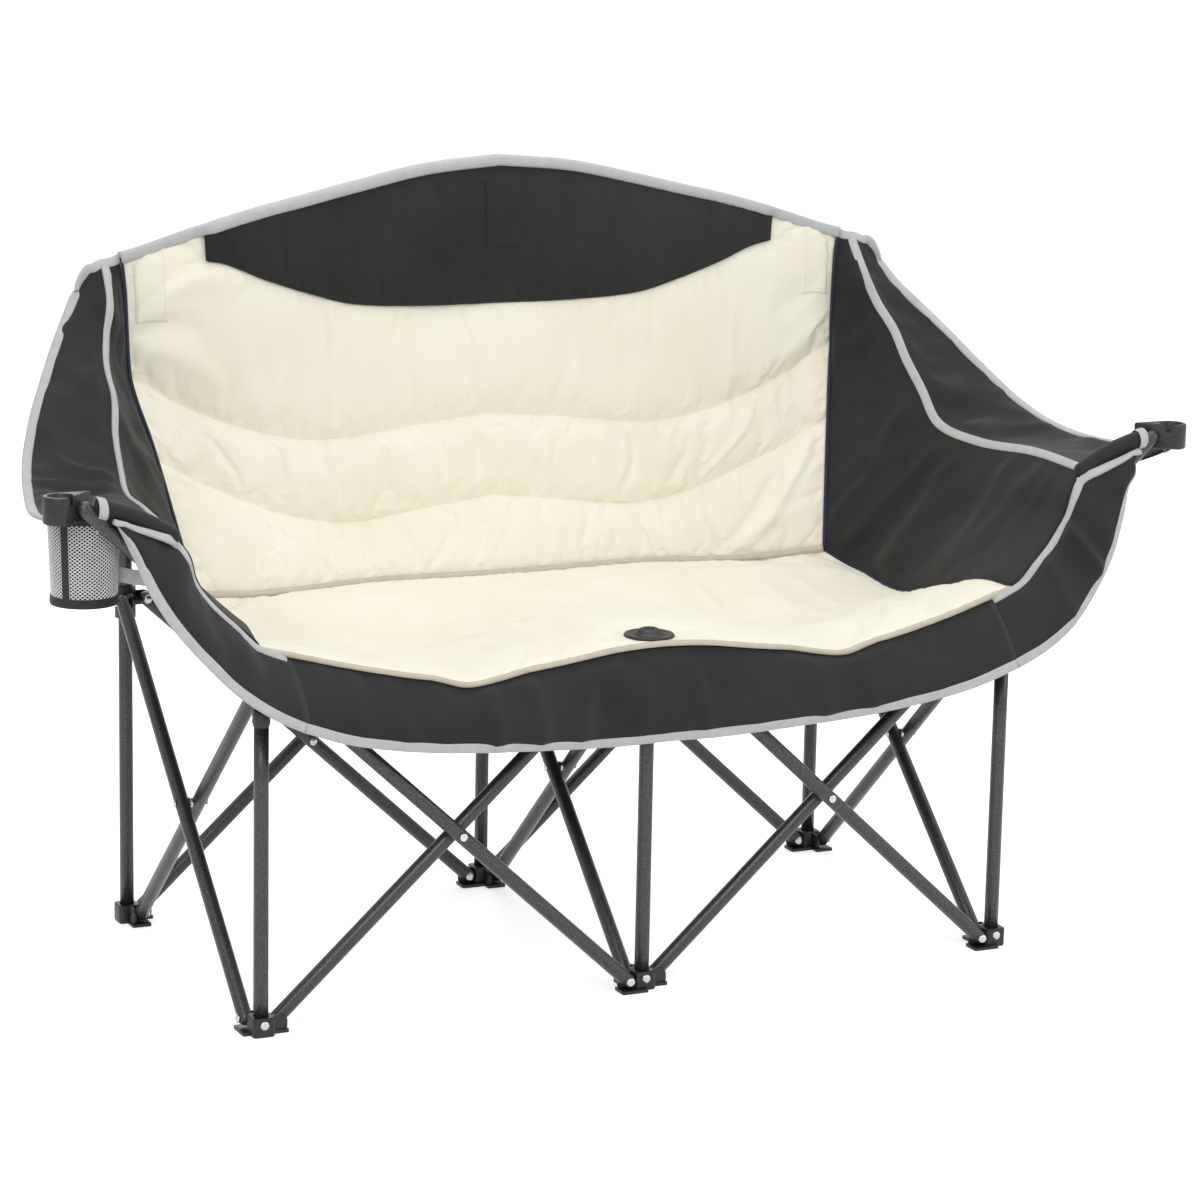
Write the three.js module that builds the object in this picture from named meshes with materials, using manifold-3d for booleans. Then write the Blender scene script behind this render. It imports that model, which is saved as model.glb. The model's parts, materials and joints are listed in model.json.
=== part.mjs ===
// A folding two-seat camping chair, in millimetres, +Z up, with its front towards -Y.
// Six legs stand in two rows of three. Seven scissors of steel tube tie each leg to its neighbours,
// and a fabric seat, back and arms hang between the hubs, the rear posts and the arm tubes.
import * as THREE from "three";
import { mergeVertices } from "three/addons/utils/BufferGeometryUtils.js";
import Module from "manifold-3d";

// Driving sizes of the frame
const bay = 500; // between neighbouring legs along X
const depth = 500; // between the front and rear rows of legs
const hubHeight = 429; // hub pins above the floor
const armReach = 716; // arm tube tips from the middle of the chair
const sidePostTop = 855;
const middlePostTop = 968;

// Tube, pins and rivets
const tubeRadius = 9;
const tubeWall = 1.3;
const pinOffset = 24; // a scissor pin's distance from its leg's axis
const pinHeight = 15; // foot pins above the floor
const layerOffset = 11; // a tube's axis from the plane that its scissor turns in
const pinRadius = 3;
const pinPlay = 0.5;
const rivetHeadRadius = 5.2;
const rivetHeadHeight = 2;
const spacerRadius = 6.5;
const plugLength = 14; // solid end of a tube beyond its pin, towards the middle
const seatGap = 0.3; // between pieces that rest on each other
const cutOverrun = 5;

// Moulded feet
const footHeight = 24;
const footHalf = 14;
const footCorner = 5;
const footBevel = 1.2;
const trayThickness = 4;
const trayLip = 2;
const trayReach = 11; // tray beyond a foot pin
const webThickness = 3.4;
const earRadius = 9;
const hubEarShare = 0.9; // an ear's radius as a share of its depth below the hub's pins

// Telescoping front posts and sliding hubs
const hubSkirt = 25; // hub barrel below its pins
const collarPlay = 8; // hub barrel above its collar, opened
const collarLength = 21;
const collarHigh = hubHeight - hubSkirt - collarPlay;
const collarLow = collarHigh - collarLength;
const collarRadius = 10.8;
const rodRadius = 6.8;
const rodBottom = 120;
const hubRadius = 13.5;
const hubPlay = 0.5;
const sideHubCap = 3.5; // how far the front corner barrels stop below their pins
const middleHubCap = 9; // front middle barrel above its pins, as high as its ears
const rearHubCap = 16;

// Moulded arm ends
const bracketLength = 62;
const bracketOverlap = 14; // bracket over the arm tube's tip
const bracketHalfWidth = 20;
const bracketHeight = 32;
const bracketBevel = 2;
const socketRadius = 15;
const socketDepth = 12;
const bracketRise = 1; // bracket's middle above the tube's tip

// Seat button
const buttonStand = 7.35; // flange above the cap of its hub
const buttonRadius = 31;
const buttonFlange = 3;
const buttonDomeRadius = 16;
const buttonDomeHeight = 7;
const stemRadius = 5;

// Fabric
const clothThickness = 3;
const seatPadThickness = 9;
const liftReach = 110; // how far round the middle front hub the seat is drawn up
const liftHeight = 5;
const backPadThickness = 13;
const padEdgeThickness = 5;
const headrestThickness = 11;
const clothClearance = 3.5; // fabric in front of the rivet heads
const channelDepth = 5;
const sideSagShare = 0.03; // a ruled panel's sag as a share of its width
const armSagShare = 0.06;
const cupRadius = 42;
const cupTaper = 4;
const cupDepth = 104;
const cupWall = 2.5;
const cupInboard = 18; // cup's middle inboard of the arm tube's tip
const cupBehindSleeve = 5;
const cupBelowBracket = 1.5;
const sleeveHalfWidth = 12;
const sleeveHalfHeight = 11;

// Faces on round forms
const tubeSides = 12;
const boreSides = 6;
const pinSides = 6;
const headSides = 8;
const buttonSides = 20;
const barrelSides = 16;

const wasm = await Module();
wasm.setup();

const steel = new THREE.MeshStandardMaterial({ color: 0x3d3d3f, roughness: 0.55, metalness: 0.6 });
const plastic = new THREE.MeshStandardMaterial({ color: 0x151516, roughness: 0.45, metalness: 0 });
const zinc = new THREE.MeshStandardMaterial({ color: 0xc9c9c6, roughness: 0.3, metalness: 1 });
const charcoal = new THREE.MeshStandardMaterial({ color: 0x343435, roughness: 0.9, metalness: 0 });
const cream = new THREE.MeshStandardMaterial({ color: 0xf3edd6, roughness: 0.9, metalness: 0 });
const netting = new THREE.MeshStandardMaterial({ color: 0xb9b9b9, roughness: 0.8, metalness: 0 });

const model = new THREE.Group();

// Solids from three.js geometry
function solidFrom(geometry) {
  const bare = geometry.index ? geometry.toNonIndexed() : geometry.clone();
  for (const name of Object.keys(bare.attributes)) {
    if (name !== "position") bare.deleteAttribute(name);
  }
  const merged = mergeVertices(bare);
  return new wasm.Manifold(
    new wasm.Mesh({
      numProp: 3,
      vertProperties: merged.attributes.position.array,
      triVerts: new Uint32Array(merged.index.array),
    }),
  );
}

function geometryFrom(solid) {
  const mesh = solid.getMesh();
  const geometry = new THREE.BufferGeometry();
  geometry.setAttribute("position", new THREE.BufferAttribute(mesh.vertProperties, 3));
  geometry.setIndex(new THREE.BufferAttribute(mesh.triVerts, 1));
  return geometry;
}

function joined(...solids) {
  return solids.reduce((whole, next) => whole.add(next));
}

function cut(solid, ...tools) {
  return tools.reduce((left, tool) => left.subtract(tool), solid);
}

// A cut cloth without the crumbs that a grazing cut leaves
function whole(solid) {
  return solid.decompose().reduce((most, body) => (body.volume() > most.volume() ? body : most));
}

// A piece becomes one named mesh, placed by the post that it stands on
function addPiece(name, material, solid, place = [0, 0, 0]) {
  const geometry = geometryFrom(solid);
  geometry.computeVertexNormals();
  const mesh = new THREE.Mesh(geometry, material);
  mesh.name = name;
  mesh.position.set(...place);
  model.add(mesh);
}

const vector = (point) => new THREE.Vector3(...point);

// A round bar between two points
function bar(start, end, radius, sides) {
  const from = vector(start);
  const along = vector(end).sub(from);
  const geometry = new THREE.CylinderGeometry(radius, radius, along.length(), sides);
  geometry.translate(0, along.length() / 2, 0);
  const upright = new THREE.Vector3(0, 1, 0);
  geometry.applyQuaternion(new THREE.Quaternion().setFromUnitVectors(upright, along.normalize()));
  geometry.translate(...start);
  return solidFrom(geometry);
}

function box(low, high) {
  const size = vector(high).sub(vector(low));
  const geometry = new THREE.BoxGeometry(size.x, size.y, size.z);
  geometry.translate(...vector(low).add(vector(high)).divideScalar(2).toArray());
  return solidFrom(geometry);
}

// The settings of a plate's bevel, which stays inside its outline
function bevelled(size) {
  return { bevelEnabled: true, bevelThickness: size, bevelSize: size, bevelOffset: -size };
}

// A flat shape extruded by its thickness, centred on the plane that facing stands square to
function plate(shape, thickness, origin, along, facing, options = {}) {
  const geometry = new THREE.ExtrudeGeometry(shape, { depth: thickness, bevelEnabled: false, ...options });
  geometry.translate(0, 0, -thickness / 2);
  const x = vector(along);
  const z = vector(facing);
  const y = new THREE.Vector3().crossVectors(z, x);
  geometry.applyMatrix4(new THREE.Matrix4().makeBasis(x, y, z));
  geometry.translate(...origin);
  return solidFrom(geometry);
}

function roundedRectangle(left, right, bottom, top, radius) {
  const shape = new THREE.Shape();
  const quarter = Math.PI / 2;
  shape.absarc(right - radius, bottom + radius, radius, -quarter, 0);
  shape.absarc(right - radius, top - radius, radius, 0, quarter);
  shape.absarc(left + radius, top - radius, radius, quarter, 2 * quarter);
  shape.absarc(left + radius, bottom + radius, radius, 2 * quarter, 3 * quarter);
  return shape;
}

// A rivet's pan head, its flat face at the given point
function rivetHead(point, outwards) {
  const rimShare = 0.45;
  const crownShare = 0.6;
  const profile = [
    new THREE.Vector2(0, 0),
    new THREE.Vector2(rivetHeadRadius, 0),
    new THREE.Vector2(rivetHeadRadius, rivetHeadHeight * rimShare),
    new THREE.Vector2(rivetHeadRadius * crownShare, rivetHeadHeight),
    new THREE.Vector2(0, rivetHeadHeight),
  ];
  const geometry = new THREE.LatheGeometry(profile, headSides);
  const upright = new THREE.Vector3(0, 1, 0);
  geometry.applyQuaternion(new THREE.Quaternion().setFromUnitVectors(upright, vector(outwards)));
  geometry.translate(...point);
  return solidFrom(geometry);
}

// Legs: where each one stands and its name
const legs = {
  front_left: [-bay, 0],
  front_centre: [0, 0],
  front_right: [bay, 0],
  rear_left: [-bay, depth],
  rear_centre: [0, depth],
  rear_right: [bay, depth],
};

// The way a scissor arm leaves a leg, and the side of the scissor's plane that its tube lies on
const arm = (along, side) => ({ along, across: [Math.abs(along[1]) * side, Math.abs(along[0]) * side] });
const left = [-1, 0];
const right = [1, 0];
const back = [0, 1];
const forward = [0, -1];

const footArms = {
  front_left: [arm(right, 1), arm(back, -1)],
  front_centre: [arm(left, -1), arm(right, 1), arm(back, -1)],
  front_right: [arm(left, -1), arm(back, -1)],
  rear_left: [arm(right, 1), arm(forward, 1)],
  rear_centre: [arm(left, -1), arm(right, 1), arm(forward, 1)],
  rear_right: [arm(left, -1), arm(forward, 1)],
};

const hubArms = {
  front_left: [arm(right, -1), arm(back, 1)],
  front_centre: [arm(left, 1), arm(right, -1), arm(back, 1)],
  front_right: [arm(left, 1), arm(back, 1)],
  rear_left: [arm(right, -1), arm(forward, -1)],
  rear_centre: [arm(left, 1), arm(right, -1), arm(forward, -1)],
  rear_right: [arm(left, 1), arm(forward, -1)],
};

// A point beside a leg: so far along an arm, so far across it and at a height
function beside({ along, across }, reach, aside, height) {
  return [along[0] * reach + across[0] * aside, along[1] * reach + across[1] * aside, height];
}

// A rivet that sticks out of a web, through one tube, with its head outside
function webRivet(leaving, height) {
  const headFace = layerOffset + tubeRadius + seatGap;
  const outwards = [...leaving.across, 0];
  return joined(
    bar(
      beside(leaving, pinOffset, 0, height),
      beside(leaving, pinOffset, headFace + rivetHeadHeight / 2, height),
      pinRadius,
      pinSides,
    ),
    rivetHead(beside(leaving, pinOffset, headFace, height), outwards),
  );
}

// The upright web that a web rivet stands in
function web(leaving, low, high, corner) {
  const shape = roundedRectangle(0, pinOffset + earRadius, low, high, corner - seatGap);
  const along = [...leaving.along, 0];
  const facing = vector(along).cross(new THREE.Vector3(0, 0, 1)).toArray();
  return plate(shape, webThickness, [0, 0, 0], along, facing, { curveSegments: 2 });
}

// Foot: a block with a socket for the post, a web to each tube and a tray under the tube ends
function footSolid(arms, rivetSide) {
  const block = plate(
    roundedRectangle(-footHalf, footHalf, -footHalf, footHalf, footCorner),
    footHeight - 2 * footBevel,
    [0, 0, footHeight / 2],
    [1, 0, 0],
    [0, 0, 1],
    { ...bevelled(footBevel), bevelSegments: 1, curveSegments: 2 },
  );
  const parts = [block];
  for (const leaving of arms) {
    parts.push(web(leaving, 0, footHeight - footBevel, earRadius), webRivet(leaving, pinHeight));
    const inner = beside(leaving, 0, -webThickness, 0);
    const outer = beside(leaving, pinOffset + trayReach, layerOffset + tubeRadius + trayLip, trayThickness);
    const low = inner.map((value, axis) => Math.min(value, outer[axis]));
    const high = inner.map((value, axis) => Math.max(value, outer[axis]));
    parts.push(
      plate(
        roundedRectangle(low[0], high[0], low[1], high[1], trayLip),
        trayThickness,
        [0, 0, trayThickness / 2],
        [1, 0, 0],
        [0, 0, 1],
        { curveSegments: 2 },
      ),
    );
  }
  const open = [0, 0, footHeight + cutOverrun];
  const socket = bar([0, 0, trayThickness], open, tubeRadius + seatGap, barrelSides);
  const crossPin = bar([0, -footHalf, pinHeight], [0, footHalf, pinHeight], pinRadius, pinSides);
  const pinHead = rivetHead([0, rivetSide * footHalf, pinHeight], [0, rivetSide, 0]);
  return joined(cut(joined(...parts), socket), crossPin, pinHead);
}

// Post: a round tube cross-drilled for the foot's rivet
function postSolid(top) {
  const bottom = trayThickness + seatGap;
  const boreEnds = [bottom - cutOverrun, top + cutOverrun].map((z) => [0, 0, z]);
  const wallTool = bar(...boreEnds, tubeRadius - tubeWall, tubeSides);
  const drillEnds = [-tubeRadius - cutOverrun, tubeRadius + cutOverrun].map((y) => [0, y, pinHeight]);
  const drill = bar(...drillEnds, pinRadius + pinPlay, pinSides);
  return { tube: bar([0, 0, bottom], [0, 0, top], tubeRadius, tubeSides), wallTool, drill };
}

function frontPost() {
  const { tube, wallTool, drill } = postSolid(collarHigh);
  const swellShare = 0.3;
  const swell = (collarHigh - collarLow) * swellShare;
  const profile = [
    new THREE.Vector2(0, collarLow),
    new THREE.Vector2(tubeRadius, collarLow),
    new THREE.Vector2(collarRadius, collarLow + swell),
    new THREE.Vector2(collarRadius, collarHigh - swell),
    new THREE.Vector2(tubeRadius, collarHigh),
    new THREE.Vector2(0, collarHigh),
  ];
  const collar = new THREE.LatheGeometry(profile, barrelSides);
  collar.rotateX(Math.PI / 2);
  return cut(joined(tube, solidFrom(collar)), wallTool, drill);
}

function rearPost(top) {
  const { tube, wallTool, drill } = postSolid(top);
  return cut(tube, wallTool, drill);
}

// Hub: a barrel with an ear and a rivet for each tube that it carries
function hubSolid(arms, cap) {
  const barrel = bar([0, 0, -hubSkirt], [0, 0, cap], hubRadius, barrelSides);
  const low = -earRadius / hubEarShare;
  const high = Math.min(earRadius, cap + earRadius);
  const corner = Math.min(earRadius, (high - low) / 2);
  const ears = arms.map((leaving) => web(leaving, low, high, corner));
  return joined(barrel, ...ears, ...arms.map((leaving) => webRivet(leaving, 0)));
}

// Front hubs ride on a rod inside the post, rear hubs slide round the post
function frontHub(arms, cap) {
  const rod = bar([0, 0, rodBottom - hubHeight], [0, 0, -hubSkirt], rodRadius, tubeSides);
  return joined(hubSolid(arms, cap), rod);
}

function rearHub(arms) {
  const ends = [-hubSkirt - cutOverrun, rearHubCap + cutOverrun].map((z) => [0, 0, z]);
  const bore = bar(...ends, tubeRadius + hubPlay, barrelSides);
  return cut(hubSolid(arms, rearHubCap), bore);
}

for (const [name, [x, y]] of Object.entries(legs)) {
  const inFront = name.startsWith("front");
  const top = name.endsWith("centre") ? middlePostTop : sidePostTop;
  addPiece(name + "_foot", plastic, footSolid(footArms[name], inFront ? -1 : 1), [x, y, 0]);
  addPiece(name + "_post", steel, inFront ? frontPost() : rearPost(top), [x, y, 0]);
  const cap = name.endsWith("centre") ? middleHubCap : -sideHubCap;
  const hub = inFront ? frontHub(hubArms[name], cap) : rearHub(hubArms[name]);
  addPiece(name + "_hub", plastic, hub, [x, y, hubHeight]);
}

// A scissor tube runs from a foot pin to a hub pin, and an arm tube goes on past its hub
function scissorTube(foot, hub, facing, tip) {
  const start = vector(foot);
  const along = vector(hub).sub(start).normalize();
  const end = tip ? vector(tip) : vector(hub);
  const length = end.distanceTo(start);
  const ends = tubeRadius;
  const outline = new THREE.Shape();
  outline.absarc(0, 0, ends, Math.PI / 2, 1.5 * Math.PI);
  if (tip) {
    outline.lineTo(length, -ends);
    outline.lineTo(length, ends);
  } else {
    outline.absarc(length, 0, ends, -Math.PI / 2, Math.PI / 2);
  }
  const thickness = 2 * tubeRadius + cutOverrun;
  const rounded = plate(outline, thickness, foot, along.toArray(), facing, { curveSegments: 3 });
  const reach = (distance) => start.clone().addScaledVector(along, distance).toArray();
  const farEnd = reach(length + (tip ? 0 : ends + cutOverrun));
  const whole = bar(reach(-ends - cutOverrun), farEnd, tubeRadius, tubeSides);
  const boreEnd = tip ? length + cutOverrun : length - plugLength;
  const bore = bar(reach(plugLength), reach(boreEnd), tubeRadius - tubeWall, boreSides);
  const holes = [start, vector(hub), vector(hub).add(start).divideScalar(2)].map((centre) => {
    const drill = vector(facing).multiplyScalar(tubeRadius + cutOverrun);
    const drillEnds = [centre.clone().sub(drill), centre.clone().add(drill)];
    return bar(...drillEnds.map((end) => end.toArray()), pinRadius + pinPlay, pinSides);
  });
  return cut(whole.intersect(rounded), bore, ...holes);
}

// The rivet where two tubes cross, with the spacer between them and a head on each side
function crossRivet(centre, facing) {
  const outer = layerOffset + tubeRadius + seatGap;
  const inner = layerOffset - tubeRadius - seatGap;
  const at = (distance) => vector(centre).addScaledVector(vector(facing), distance).toArray();
  const inwards = vector(facing).negate().toArray();
  return joined(
    bar(at(-outer - rivetHeadHeight / 2), at(outer + rivetHeadHeight / 2), pinRadius, pinSides),
    bar(at(-inner), at(inner), spacerRadius, headSides),
    rivetHead(at(outer), facing),
    rivetHead(at(-outer), inwards),
  );
}

// The pin point of one leg's arm, in the chair's frame
function pinPoint(leg, leaving, height) {
  const point = beside(leaving, pinOffset, layerOffset, height);
  return [legs[leg][0] + point[0], legs[leg][1] + point[1], height];
}

function armTip(foot, hub) {
  const slope = (hub[2] - foot[2]) / Math.abs(hub[0] - foot[0]);
  const outwards = Math.sign(hub[0]);
  return [outwards * armReach, hub[1], hub[2] + (armReach - Math.abs(hub[0])) * slope];
}

// Each scissor: the two legs that it ties, the ways between them, and its tubes' names.
// The first tube starts at the first leg's foot. An arm tube goes on past its hub.
const scissors = [
  { name: "front_left", legs: ["front_centre", "front_left"], way: [left, right], tubes: ["arm", "brace"] },
  { name: "front_right", legs: ["front_centre", "front_right"], way: [right, left], tubes: ["arm", "brace"] },
  { name: "rear_left", legs: ["rear_centre", "rear_left"], way: [left, right], tubes: ["inner", "outer"] },
  { name: "rear_right", legs: ["rear_centre", "rear_right"], way: [right, left], tubes: ["inner", "outer"] },
  { name: "left_side", legs: ["front_left", "rear_left"], way: [back, forward], tubes: ["front", "rear"] },
  {
    name: "centre_side",
    legs: ["front_centre", "rear_centre"],
    way: [back, forward],
    tubes: ["front", "rear"],
  },
  { name: "right_side", legs: ["front_right", "rear_right"], way: [back, forward], tubes: ["front", "rear"] },
];

const armAt = (table, leg, way) => table[leg].find((leaving) => leaving.along === way);
const armTubes = {};
const scissorEnds = [];

for (const scissor of scissors) {
  const [near, far] = scissor.legs;
  const [outwards, homewards] = scissor.way;
  const firstFoot = pinPoint(near, armAt(footArms, near, outwards), pinHeight);
  const firstHub = pinPoint(far, armAt(hubArms, far, homewards), hubHeight);
  const secondFoot = pinPoint(far, armAt(footArms, far, homewards), pinHeight);
  const secondHub = pinPoint(near, armAt(hubArms, near, outwards), hubHeight);
  const square = [Math.abs(outwards[1]), Math.abs(outwards[0]), 0];
  const [firstName, secondName] = scissor.tubes;
  const tip = firstName === "arm" ? armTip(firstFoot, firstHub) : undefined;
  addPiece(`${scissor.name}_${firstName}_tube`, steel, scissorTube(firstFoot, firstHub, square, tip));
  addPiece(`${scissor.name}_${secondName}_tube`, steel, scissorTube(secondFoot, secondHub, square));
  const middle = new THREE.Vector3();
  for (const pin of [firstFoot, firstHub, secondFoot, secondHub]) middle.addScaledVector(vector(pin), 1 / 4);
  addPiece(`${scissor.name}_cross_rivet`, zinc, crossRivet(middle.toArray(), square));
  if (tip) armTubes[Math.sign(tip[0])] = { foot: firstFoot, hub: firstHub, tip };
  scissorEnds.push([firstFoot, tip ?? firstHub], [secondFoot, secondHub]);
}

// Moulded end on an arm tube: rounded outside, a slanted bore for the tube, a round recess on top
function armBracket({ hub, tip }) {
  const side = Math.sign(tip[0]);
  const innerEnd = tip[0] - side * bracketOverlap;
  const outerEnd = innerEnd + side * bracketLength;
  const middle = tip[2] + bracketRise;
  const core = plate(
    roundedEnd(),
    bracketHeight - 2 * bracketBevel,
    [innerEnd, tip[1], middle],
    [side, 0, 0],
    [0, 0, side > 0 ? 1 : -1],
    { ...bevelled(bracketBevel), bevelSegments: 2, curveSegments: 8 },
  );
  const socketX = outerEnd - side * bracketHalfWidth;
  const top = middle + bracketHeight / 2;
  const socketEnds = [top - socketDepth, top + cutOverrun].map((z) => [socketX, tip[1], z]);
  const socket = bar(...socketEnds, socketRadius, barrelSides);
  const tubeWay = vector(tip).sub(vector(hub)).normalize();
  const past = vector(tip).addScaledVector(tubeWay, seatGap).toArray();
  const bore = bar(hub, past, tubeRadius + seatGap, tubeSides);
  return cut(core, socket, bore);
}

function roundedEnd() {
  const shape = new THREE.Shape();
  shape.moveTo(0, -bracketHalfWidth);
  shape.absarc(bracketLength - bracketHalfWidth, 0, bracketHalfWidth, -Math.PI / 2, Math.PI / 2);
  shape.lineTo(0, bracketHalfWidth);
  shape.closePath();
  return shape;
}

addPiece("left_arm_bracket", plastic, armBracket(armTubes[-1]));
addPiece("right_arm_bracket", plastic, armBracket(armTubes[1]));

// Fabric places are shares: X of the bay and then of the arm's reach, Y of the depth,
// Z of the hub height, then of the rise to the arm tip, then of the rise to the side posts' top
const armHeight = armTubes[1].tip[2];

function stretch(share, steps) {
  const floor = Math.min(Math.floor(share), steps.length - 2);
  return steps[floor] + (share - floor) * (steps[floor + 1] - steps[floor]);
}

const across = (share) => stretch(share, [0, bay, armReach]);
const upwards = (share) => stretch(share, [0, hubHeight, armHeight, sidePostTop]);
const placed = ([x, y, z], side) => new THREE.Vector3(side * across(x), y * depth, upwards(z));

// A smooth value along a table, whose entries stand at the given places
function eased(places, table, share) {
  const last = table.length - 1;
  const place = Math.min(Math.max(share, places[0]), places[last]);
  const index = Math.min(Math.max(places.findIndex((next) => next > place), 1), last) || last;
  const [from, to] = [place >= places[last] ? last - 1 : index - 1, place >= places[last] ? last : index];
  const slope = (a, b) => (table[b] - table[a]) / (places[b] - places[a]);
  const startSlope = slope(Math.max(from - 1, 0), to);
  const endSlope = slope(from, Math.min(to + 1, last));
  const step = places[to] - places[from];
  const t = (place - places[from]) / step;
  const square = t * t;
  const cube = square * t;
  return (
    (2 * cube - 3 * square + 1) * table[from] + (cube - 2 * square + t) * step * startSlope +
    (3 * square - 2 * cube) * table[to] + (cube - square) * step * endSlope
  );
}

const curveThrough = (points) => new THREE.CatmullRomCurve3(points, false, "centripetal");
const smoothLine = (shares, side) => curveThrough(shares.map((point) => placed(point, side)));

// A closed slab of cloth or padding about a middle surface. A swell grows it on every side.
function slab(middle, thickness, columns, rows, swell = 0) {
  const probeShare = 1e-3;
  const points = [[], []];
  for (let row = 0; row <= rows; row++) {
    for (let column = 0; column <= columns; column++) {
      const [u, v] = [column / columns, row / rows];
      const alongU = middle(Math.min(u + probeShare, 1), v).sub(middle(Math.max(u - probeShare, 0), v));
      const alongV = middle(u, Math.min(v + probeShare, 1)).sub(middle(u, Math.max(v - probeShare, 0)));
      const normal = alongU.clone().cross(alongV).normalize();
      const half = thickness(u, v) / 2 + swell;
      const centre = middle(u, v);
      centre.addScaledVector(alongU.normalize(), swell * outward(column, columns));
      centre.addScaledVector(alongV.normalize(), swell * outward(row, rows));
      points[0].push(centre.clone().addScaledVector(normal, half));
      points[1].push(centre.clone().addScaledVector(normal, -half));
    }
  }
  const count = points[0].length;
  const faces = [];
  // A face through four corners, each given by its layer, column and row
  const quad = (...corners) => {
    const [a, b, c, d] = corners.map(([layer, column, row]) => layer * count + row * (columns + 1) + column);
    faces.push(a, b, c, a, c, d);
  };
  for (let row = 0; row < rows; row++) {
    for (let column = 0; column < columns; column++) {
      const [right, up] = [column + 1, row + 1];
      quad([0, column, row], [0, right, row], [0, right, up], [0, column, up]);
      quad([1, column, up], [1, right, up], [1, right, row], [1, column, row]);
    }
  }
  for (let column = 0; column < columns; column++) {
    quad([1, column, 0], [1, column + 1, 0], [0, column + 1, 0], [0, column, 0]);
    quad([0, column, rows], [0, column + 1, rows], [1, column + 1, rows], [1, column, rows]);
  }
  for (let row = 0; row < rows; row++) {
    quad([0, 0, row], [0, 0, row + 1], [1, 0, row + 1], [1, 0, row]);
    quad([1, columns, row], [1, columns, row + 1], [0, columns, row + 1], [0, columns, row]);
  }
  const geometry = new THREE.BufferGeometry().setFromPoints(points.flat());
  geometry.setIndex(faces);
  return solidFrom(geometry);
}

// Which end of its run an index stands at: -1, 1, or 0 between them
function outward(index, last) {
  return Number(index === last) - Number(index === 0);
}

// Thickness that falls off towards the sewn edges
function crown(full, edge) {
  const fallShare = 0.12;
  return (u, v) => {
    const inside = Math.min(u, 1 - u, v, 1 - v) / fallShare;
    return edge + (full - edge) * Math.sin(Math.min(inside, 1) * Math.PI / 2);
  };
}

const rivetFront = layerOffset + tubeRadius + seatGap + rivetHeadHeight;
const clothFront = -(rivetFront + clothClearance + clothThickness / 2);
const apronSetOut = 10; // the seat's front edge in front of the cloth's plane
const seatFront = clothFront - apronSetOut + clothThickness / 2 + seatGap;
const backRest = depth - tubeRadius - backPadThickness / 2 - 4 * seatGap;

// Seat and back: lines across the chair, from the middle outwards, and the line that their sides follow
const lineShares = [0, 0.25, 0.5, 0.75, 1];
const seatPlaceShares = [0, 0.14, 0.28, 0.42, 0.5, 0.56, 0.65, 0.8, 0.92, 1];
const backPlaceShares = [0, 0.2, 0.4, 0.52, 0.64, 0.76, 0.88, 0.95, 1];
const seatFrontShares = [1.066, 1.06, 1.02, 0.983, 0.972, 0.99, 1.024, 1.098, 1.165, 1.205];
const seatNearShares = [1.073, 1.05, 1.008, 0.972, 0.962, 0.975, 0.998, 1.056, 1.13, 1.18];
const seatMiddleShares = [1.023, 0.988, 0.956, 0.928, 0.921, 0.923, 0.932, 0.951, 0.974, 0.993];
const seatFarShares = [1.032, 0.998, 0.974, 0.956, 0.951, 0.951, 0.96, 0.974, 0.993, 1.009];
const seatSeamShares = [1.05, 1.05, 1.055, 1.059, 1.055, 1.05, 1.045, 1.05, 1.077, 1.105];
const backSeamShares = [1.05, 1.055, 1.059, 1.055, 1.05, 1.045, 1.052, 1.077, 1.105];
const lowChannelShares = [1.495, 1.441, 1.386, 1.409, 1.477, 1.586, 1.709, 1.8, 1.859];
const highChannelShares = [1.986, 1.941, 1.886, 1.886, 1.941, 2.029, 2.16, 2.267, 2.325];
const headLineShares = [2.684, 2.684, 2.714, 2.791, 2.888, 2.985, 3.06, 3.07, 3.07];
const topEdgeShares = [3.614, 3.568, 3.465, 3.396, 3.329, 3.25, 3.159, 3.105, 3.074];
const seatWidthShares = [1.03, 0.994, 0.97, 0.952, 0.894];
const seatDepthShares = [seatFront / depth, 0.13, 0.41, 0.66, 0.87];
const seatSideDepthShares = [-0.008, 0.14, 0.41, 0.66, 0.77];
const backWidthShares = [0.894, 0.956, 1.0, 1.02, 1.046];
const backDepthShares = [0.87, 0.95, backRest / depth, backRest / depth, backRest / depth];
const backSideDepthShares = [0.77, 0.886, 0.962, 0.974, 0.974];
const seatLines = [seatFrontShares, seatNearShares, seatMiddleShares, seatFarShares, seatSeamShares];
const backLines = [backSeamShares, lowChannelShares, highChannelShares, headLineShares, topEdgeShares];

const seatNet = { lines: seatLines, places: seatPlaceShares, widths: seatWidthShares };
const backNet = { lines: backLines, places: backPlaceShares, widths: backWidthShares };
Object.assign(seatNet, { depths: seatDepthShares, sideDepths: seatSideDepthShares });
Object.assign(backNet, { depths: backDepthShares, sideDepths: backSideDepthShares });

// A point of the surface that a net of lines spans: s from -1 at the left to 1 at the right
function spanned(s, v, net) {
  const out = Math.abs(s);
  const bend = out ** 4;
  const heights = net.lines.map((line) => eased(net.places, line, out));
  const y = eased(lineShares, net.depths, v) * (1 - bend) + eased(lineShares, net.sideDepths, v) * bend;
  const x = s * across(eased(lineShares, net.widths, v));
  return new THREE.Vector3(x, y * depth, upwards(eased(lineShares, heights, v)));
}

function seatPoint(s, v) {
  const point = spanned(s, v, seatNet);
  return point.setZ(point.z + seatLift(point.x, point.y) - seatPadThickness / 2);
}

const backPoint = (s, v) => spanned(s, v, backNet);

const seatSplitShare = 0.5;
const splitHalf = seatGap / depth;

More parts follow.
